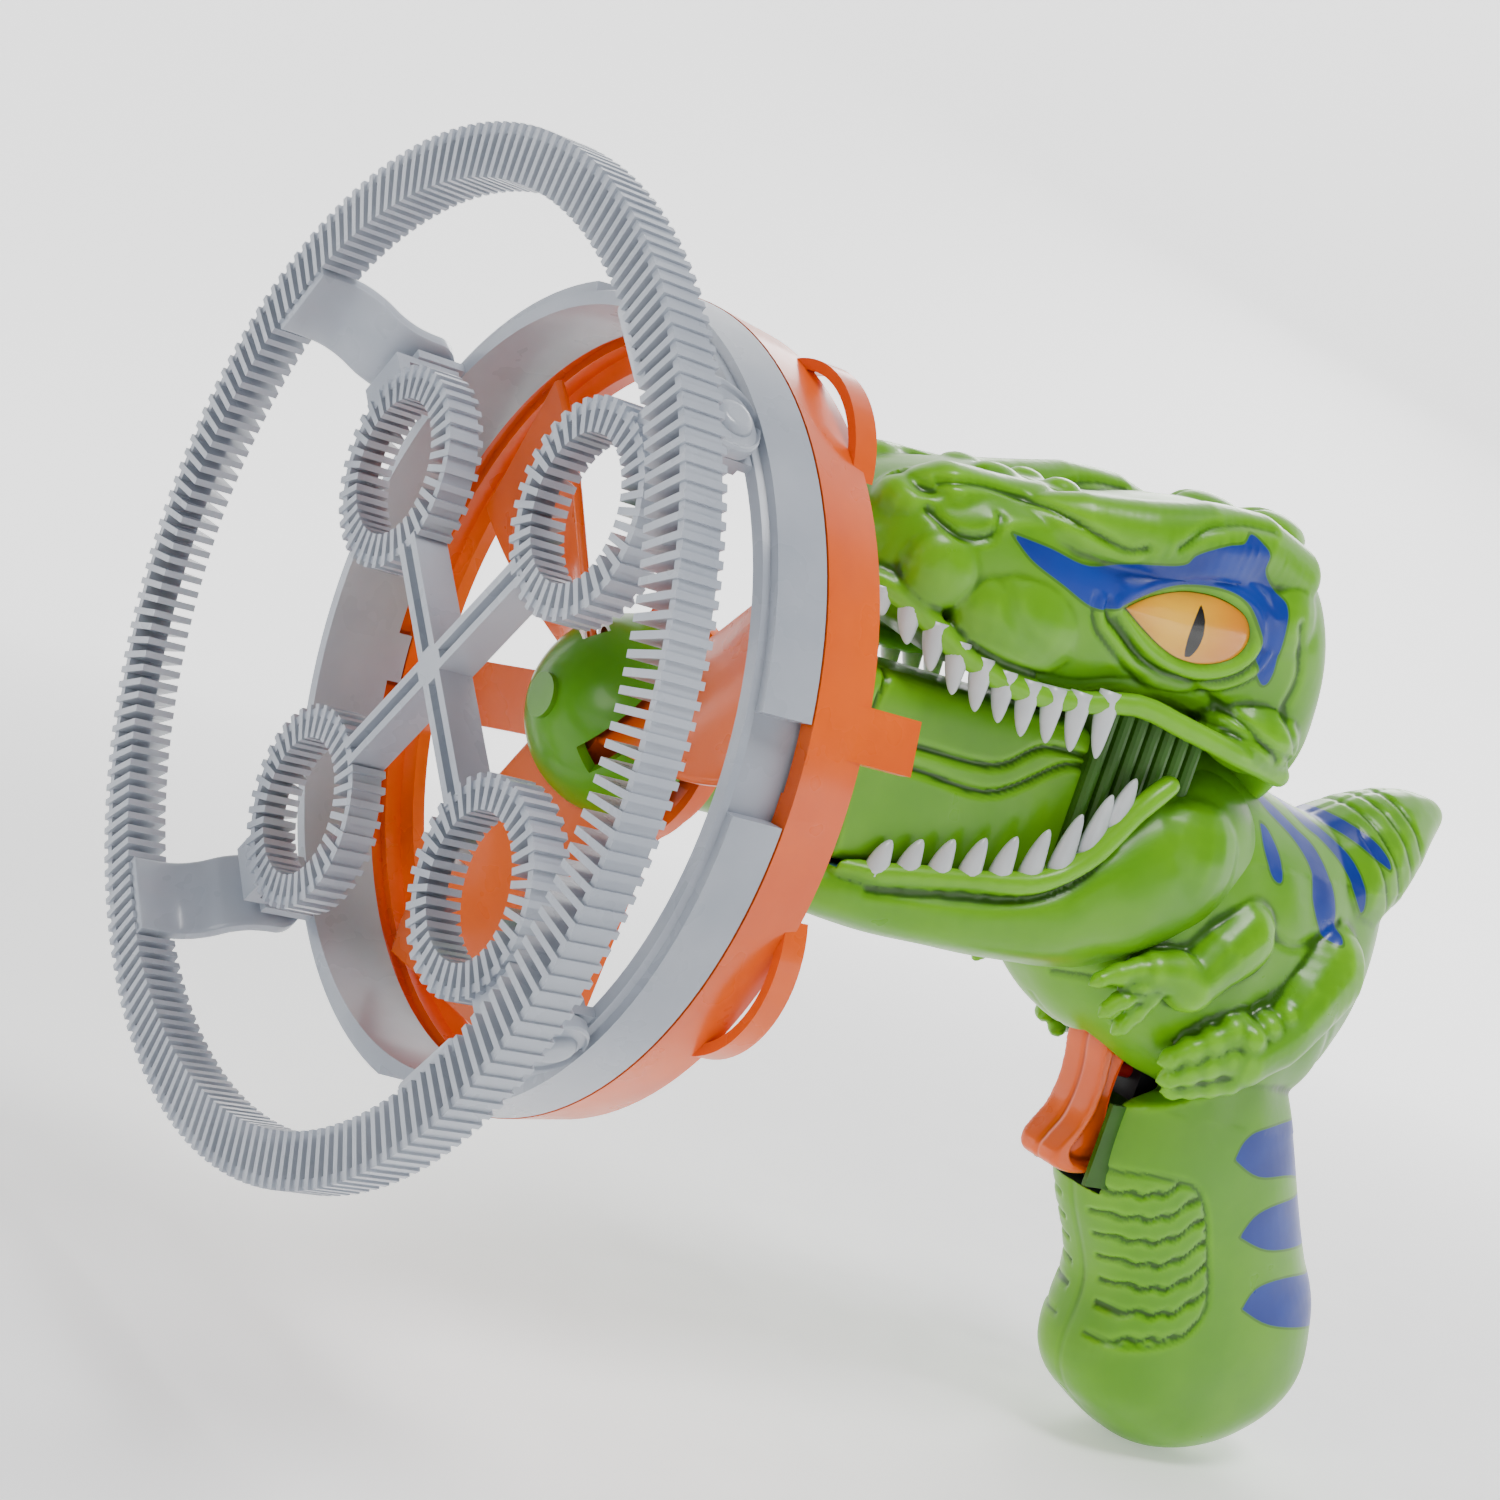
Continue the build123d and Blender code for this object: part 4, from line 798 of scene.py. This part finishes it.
TOES = (
    [(19.6, 150.0, -25.0, 3.4), (20.0, 146.4, -27.2, 3.0), (19.6, 142.8, -29.6, 2.5),
    (18.6, 139.4, -32.0, 1.9), (17.4, 136.6, -34.4, 0.9)],
    [(20.0, 151.0, -29.6, 3.4), (20.2, 147.2, -31.6, 3.0), (19.6, 143.8, -33.8, 2.5),
    (18.6, 140.6, -36.0, 1.9), (17.2, 138.0, -38.0, 0.9)],
    [(19.0, 154.0, -33.6, 3.2), (19.0, 150.6, -35.6, 2.8), (18.4, 147.2, -37.2, 2.4),
    (17.4, 144.0, -38.6, 1.8), (16.0, 141.4, -40.0, 0.9)],
)
body_shapes = [lofted(TORSO), grip_skin(GRIP)] + beads(TAIL, 0.12)
for chain in (ARM, FOREARM, LEG):
    for shape in beads(chain, 0.25):
        body_shapes += both(shape)
for finger in FINGERS + TOES:
    for spot, after in zip(finger[:-1], finger[1:]):
        centre = [(a + b) / 2 for a, b in zip(spot[:3], after[:3])]
        for shape in beads([spot, after], 0.3) + [ball(centre, spot[3] * 1.06)]:
            body_shapes += both(shape)
for k in range(5):
    body_shapes += both(ball((19.5 + 0.3 * k, 166 - 3.6 * k, -15.5 - 2.6 * k), (4.6, 3.4, 3.4)))
body = fused("body_skin", body_shapes, 0.66, 3)

STRIPES = (
    (((141.9, 12.2), (144.3, 11.4), (148.0, 7.3), (149.2, 3.1), (146.4, 3.6), (143.0, 8.2)), 6),
    (((141.2, 17.6), (147.2, 16.2), (154.7, 12.8), (160.9, 9.9), (166.6, 3.6), (168.7, -2.0),
    (168.5, -5.2), (165.1, -4.6),
      (160.4, 0.8), (158.8, 6.2), (153.3, 10.9), (145.5, 14.6)), 4),
    (((152.0, 18.4), (160.4, 15.6), (165.7, 13.7), (172.0, 10.8), (177.0, 5.0), (178.4, 0.6),
    (175.4, 3.0), (171.0, 8.1),
      (164.3, 11.8), (158.4, 13.9)), 2),
    (((162.0, 19.4), (172.1, 16.8), (179.9, 13.6), (183.1, 10.0), (178.7, 11.3), (172.4, 13.8),
    (166.5, 15.6)), 0),
    (((167.0, -50.8), (168.1, -46.8), (172.6, -44.1), (184.0, -42.4), (196.0, -44.0), (202.0, -54.0),
    (186.0, -52.6), (174.9, -53.3)), 0),
    (((175.6, -65.6), (178.6, -60.6), (187.9, -57.5), (206.0, -56.0), (214.0, -66.0), (197.0, -66.4),
    (184.2, -67.4)), 0),
    (((182.4, -79.6), (185.7, -74.7), (198.0, -72.3), (220.0, -74.0), (224.0, -84.0), (206.0, -82.4),
    (191.0, -82.0)), 0),
)
PANEL = (
    (141.0, -59.5), (149.0, -57.2), (158.5, -57.3), (163.9, -61.4), (168.6, -69.4), (172.9, -79.0),
    (170.6, -86.0),
    (162.0, -90.5), (150.0, -92.0), (140.0, -84.0), (138.0, -70.0),
)
TAIL_AXIS = np.array([0, 0.76, 0.65])


def body_extra(co, normals):
    """Grip grooves with ragged ends, tail wrinkles, flank folds and the middle seam."""
    rel = co - GRIP_TOP
    s = rel @ GRIP_DOWN
    t = rel @ GRIP_BACK
    side = np.abs(co[:, 0])
    panel = inside_of(co[:, 1:], PANEL)
    within = np.clip(-panel / 0.8, 0, 1) * (side > 4)
    push = -0.45 * bell(panel, 0.5) * (side > 4)
    wave = s + 0.9 * np.sin(t * 0.33) + 0.35 * np.sin(t * 1.3 + s)
    push -= within * 0.75 * bell((wave % 5.2) - 2.6, 0.62)
    ragged = np.abs(t + 12.5 + 1.9 * np.sin(s * 2.6) + 1.2 * np.sin(s * 5.1 + 1))
    push -= within * 0.55 * bell(ragged, 0.55)
    tail = (co - np.array([0, 178, 2])) @ TAIL_AXIS
    for spot in (7.0, 11.0, 15.5, 20.0):
        push -= 0.4 * bell(tail - spot, 0.6) * (co[:, 1] > 176) * (co[:, 2] > 0)
    folds = np.sin(co[:, 1] * 0.42 + co[:, 2] * 0.18)
    push += 0.16 * folds * (co[:, 2] < 5) * (co[:, 2] > -45)
    lower = (co[:, 2] < -30) | (co[:, 1] > 150)
    push -= 0.4 * bell(co[:, 0], 0.35) * lower
    return push


body_grooves = (
    (((112, -24), (116, -22.5), (121, -22)), 0.8, 0.6, 8),
    (((122, -34), (127, -30), (129, -25.5)), 0.9, 0.4, 12),
    (((148, -6), (156, -8), (163, -6), (170, -2)), 1.1, 0.35, 12),
    (((176, -18), (182, -24), (186, -32)), 1.2, 0.35, 8),
)
dressed(body, STRIPES, body_grooves, (), (), body_extra)
hollow = grip_skin([(s, f, r, h, q) for s, f, r, h, q in GRIP[2:-2]], 40, 48, 2.0)
slot_box = box_shape((-6.5, 126.5, -64.0), (6.5, 153.5, -27.0))
door_cut = grip_block((8.7, 54.3), (-27.3, 9.8), (-40.0, -12.0))
tab_cut = grip_block((54.0, 64.3), (-12.3, -3.7), (-40.0, -12.0))
door = body.copy()
door.data = body.data.copy()
door.name = "battery_door_skin"
bpy.context.collection.objects.link(door)
carved(body, [slot_box, hollow, door_cut, tab_cut])
carved(door, [hollow])
door_main = grip_block((9.0, 54.0), (-27.0, 9.5), (-40.0, -12.4))
door_tab = grip_block((54.0, 64.0), (-12.0, -4.0), (-40.0, -12.4))
carved(door, [joined(door_main, door_tab)], "INTERSECT")


def screw_recess(name, y, z, radius):
    """Round recess over a screw head on the right side, down to the seat of the head."""
    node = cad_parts[name]
    spots = np.array([node.matrix_world @ v.co for v in node.data.vertices]) / MM
    near = spots[np.hypot(spots[:, 1] - y, spots[:, 2] - z) < 3.2]
    return rod([(-40.0, y, z), (near[:, 0].min() + 1.0, y, z)], radius, 32)


CASE_SCREWS = ((118.0, -8.0), (160.0, 4.0), (182.0, -24.0), (209.0, -97.0), (186.2, -109.6))
carved(body, [screw_recess("case_screws", y, z, 2.9) for y, z in CASE_SCREWS])
door_screw = grip_point(0, 61.4, -8.0)
carved(door, [screw_recess("battery_door_screw", door_screw[1], door_screw[2], 2.6)])
placed(body, "toy", "body_left", "skin", "body_left", "body_right")
placed(door, "door", "battery_door", "skin", "battery_door")

# ------------------------------------------------------------------ wand details
ARM_ANGLES = [49.6 + 90 * k for k in range(4)]
STRAP = (
    (63.75, -9.6), (63.75, -13.0), (63.9, -16.4), (64.6, -19.4), (66.2, -22.2), (68.4, -24.6),
    (70.0, -27.4), (70.7, -30.6), (70.8, -35.8),
)


# share of the half width, and height in millimetres, round the arm's cross section
STRAP_PROFILE = (
    (-1.0, -0.5), (-1.0, 1.3), (-0.93, 1.6), (-0.84, 1.3), (-0.80, 0.75), (0.80, 0.75), (0.84, 1.3),
    (0.93, 1.6),
    (1.0, 1.3), (1.0, -0.5), (0.9, -0.8), (-0.9, -0.8),
)
STRAP_HALF_WIDTH = 6.9
STRAP_STEPS = 44

# green walls behind the trigger, in dark green as painted shade
well = [box_shape((side * 6.6, 139.0, -62.6), (side * 7.6, 152.4, -46.4)) for side in (1, -1)]
well += [box_shape((-7.6, 150.8, -62.6), (7.6, 152.4, -46.4))]
placed(made("trigger_well", well, smooth=False), "toy", "body_left", "painted_shade_green")


def strap(angle):
    """Curved arm with a rounded end and raised edges, from the collar to the big ring."""
    a = math.radians(angle)
    outward = np.array([math.cos(a), 0, math.sin(a)])
    tangent = np.array([-math.sin(a), 0, math.cos(a)])
    line = eased(STRAP, STRAP_STEPS)
    rings = []
    for k, (r, y) in enumerate(line):
        along = k / (len(line) - 1)
        half = STRAP_HALF_WIDTH * math.sqrt(max(0.06, 1 - max(0.0, 1 - along * 5.5) ** 2))
        ahead, back = line[min(k + 1, len(line) - 1)], line[max(k - 1, 0)]
        run = np.array([ahead[0] - back[0], ahead[1] - back[1]])
        run /= np.linalg.norm(run)
        lift = outward * -run[1] + np.array([0, run[0], 0])
        middle = outward * r + np.array([0, y, 0])
        profile = []
        for v, h in STRAP_PROFILE:
            profile.append(middle + tangent * v * half + lift * h)
        rings.append(profile)
    return tube_of(rings)


for number, angle in enumerate(ARM_ANGLES, start=1):
    piece = made(f"arm_strap_{number}", [strap(angle)], smooth=False)
    soften = piece.modifiers.new("soften", "BEVEL")
    soften.width = 0.25 * MM
    soften.segments = 2
    settle(piece)
    piece.data.shade_smooth()
    placed(piece, "wand", f"wand_arm_{number}", "white", f"wand_arm_{number}")

# ------------------------------------------------------------------ trigger details
TRIGGER = (
    (134.6, -30.0), (134.0, -36.0), (135.2, -41.0), (135.7, -46.0), (134.9, -51.5), (132.6, -55.6),
    (131.4, -58.2), (132.6, -60.6),
    (138.0, -61.5), (143.6, -60.4), (144.6, -58.6), (143.4, -54.0), (141.8, -48.0), (141.5, -40.0),
    (142.6, -34.4), (142.6, -29.4), (139.0, -26.8),
)
TRIGGER_DISH = (
    (137.2, -30.0), (137.2, -38.0), (137.9, -44.0), (137.6, -49.5), (136.0, -54.0), (134.9, -57.0),
    (136.4, -58.9),
    (140.0, -59.2), (145.0, -58.2), (152.0, -57.0), (152.0, -30.0),
)


def plate(outline, halves):
    """Outline in the side view, drawn at several half widths with insets: (x, shrink)."""
    flat = eased(list(outline) + [outline[0]], len(outline) * 6)[:-1]
    middle = flat.mean(0)
    rings = []
    for x, shrink in halves:
        spread = middle + (flat - middle) * shrink
        rings.append([(x, y, z) for y, z in spread])
    return tube_of(rings)


TRIGGER_WIDTHS = ((-5.5, 0.9), (-5.1, 0.97), (-4.2, 1.0), (4.2, 1.0), (5.1, 0.97), (5.5, 0.9))
trigger = fused("trigger_skin", [plate(TRIGGER, TRIGGER_WIDTHS)], 0.36, 2)


def trigger_extra(co, normals):
    """Sunk side panels with a rim in front and below, and a seam down the front."""
    dish = inside_of(co[:, 1:], TRIGGER_DISH)
    side = np.abs(co[:, 0]) > 3.6
    push = -1.7 * np.clip((0.4 - dish) / 1.0, 0, 1) * side + 0.7 * bell(dish + 4.0, 2.2) * side
    push -= 0.35 * bell(co[:, 0], 0.5) * (co[:, 1] < 137)
    return push


dressed(trigger, [], (), (), (), trigger_extra)
placed(trigger, "trigger_lever", "trigger", "orange_deep", "trigger")

# ------------------------------------------------------------------ floor, light and camera
FLOOR_Z = -114.4
FLOOR_THICK = 12
FLOOR_REACH = 2600
SWEEP_START = 700
SWEEP_RADIUS = 600
TOWARDS_BACKDROP = np.array([-0.80, 0.60, 0.0])
ALONG_BACKDROP = np.array([0.60, 0.80, 0.0])


def sweep_floor():
    """Wide floor that curves up into a backdrop behind the toy, as seen by the camera."""
    line = [(-1600, FLOOR_Z), (0, FLOOR_Z), (SWEEP_START, FLOOR_Z)]
    for q in np.linspace(0.1, math.pi / 2, 14):
        line.append((SWEEP_START + SWEEP_RADIUS * math.sin(q), FLOOR_Z + SWEEP_RADIUS * (1 - math.cos(q))))
    line.append((SWEEP_START + SWEEP_RADIUS, 2600))
    rings = []
    for reach in (-FLOOR_REACH, FLOOR_REACH):
        side = ALONG_BACKDROP * reach
        upper = [TOWARDS_BACKDROP * d + side + np.array([0, 0, z]) for d, z in line]
        lower = [
            TOWARDS_BACKDROP * (d + FLOOR_THICK) + side + np.array([0, 0, z - FLOOR_THICK]) for d,
            z in reversed(line)
        ]
        rings.append(upper + lower)
    return tube_of(rings)


floor = made("floor", [sweep_floor()], smooth=True)
floor_look = Shade("studio_floor")
floor_tone = floor_look.spread(floor_look.noise(3.0), 0.3, 0.7)
floor_colour = floor_look.mixed(floor_tone, linear("f4f4f4"), linear("f8f8f8"))
floor.data.materials.append(floor_look.finish(floor_colour, 0.7, 60.0, 0.02))
floor_look.bsdf.inputs["Emission Color"].default_value = (1, 1, 1, 1)
far = floor_look.nodes.new("ShaderNodeVectorMath")
far.operation = "LENGTH"
floor_look.links.new(floor_look.coords, far.inputs[0])
glow = floor_look.spread(far.outputs["Value"], 0.3, 1.1, 0.4, 1.3)
floor_look.links.new(glow, floor_look.bsdf.inputs["Emission Strength"])


def lamp(name, place, target, size, power):
    """Round area light in metres and watts, aimed at the target."""
    light = bpy.data.lights.new(name, "AREA")
    light.shape = "DISK"
    light.size = size
    light.energy = power
    obj = bpy.data.objects.new(name, light)
    obj.location = place
    obj.rotation_euler = (Vector(target) - Vector(place)).to_track_quat("-Z", "Y").to_euler()
    bpy.context.collection.objects.link(obj)


lamp("key", (0.46, 0.14, 1.05), (0, 0.08, 0), 0.45, 10)
lamp("front", (0.45, -0.95, 0.35), (0, 0.05, 0), 0.55, 4)
lamp("fill", (1.0, 0.3, 0.05), (0, 0.1, -0.02), 0.6, 0.8)
lamp("rear", (-0.7, 0.9, 0.5), (0, 0.1, 0), 0.5, 4)
world = bpy.data.worlds.new("studio")
world.use_nodes = True
world.node_tree.nodes["Background"].inputs["Color"].default_value = (1, 1, 1, 1)
world.node_tree.nodes["Background"].inputs["Strength"].default_value = 0.2
bpy.context.scene.world = world

camera_data = bpy.data.cameras.new("camera")
camera_data.sensor_width = 36
camera_data.lens = 65.84
camera_data.clip_start = 0.01
camera = bpy.data.objects.new("camera", camera_data)
ahead = Vector((-0.798, 0.595, -0.097)).normalized()
upward = Vector((-0.265, -0.202, 0.943))
upward = (upward - ahead * upward.dot(ahead)).normalized()
right = ahead.cross(upward)
turn = Matrix((right, upward, -ahead)).transposed().to_4x4()
camera.matrix_world = Matrix.Translation((0.3590, -0.2288, 0.0434)) @ turn
bpy.context.collection.objects.link(camera)
bpy.context.scene.camera = camera
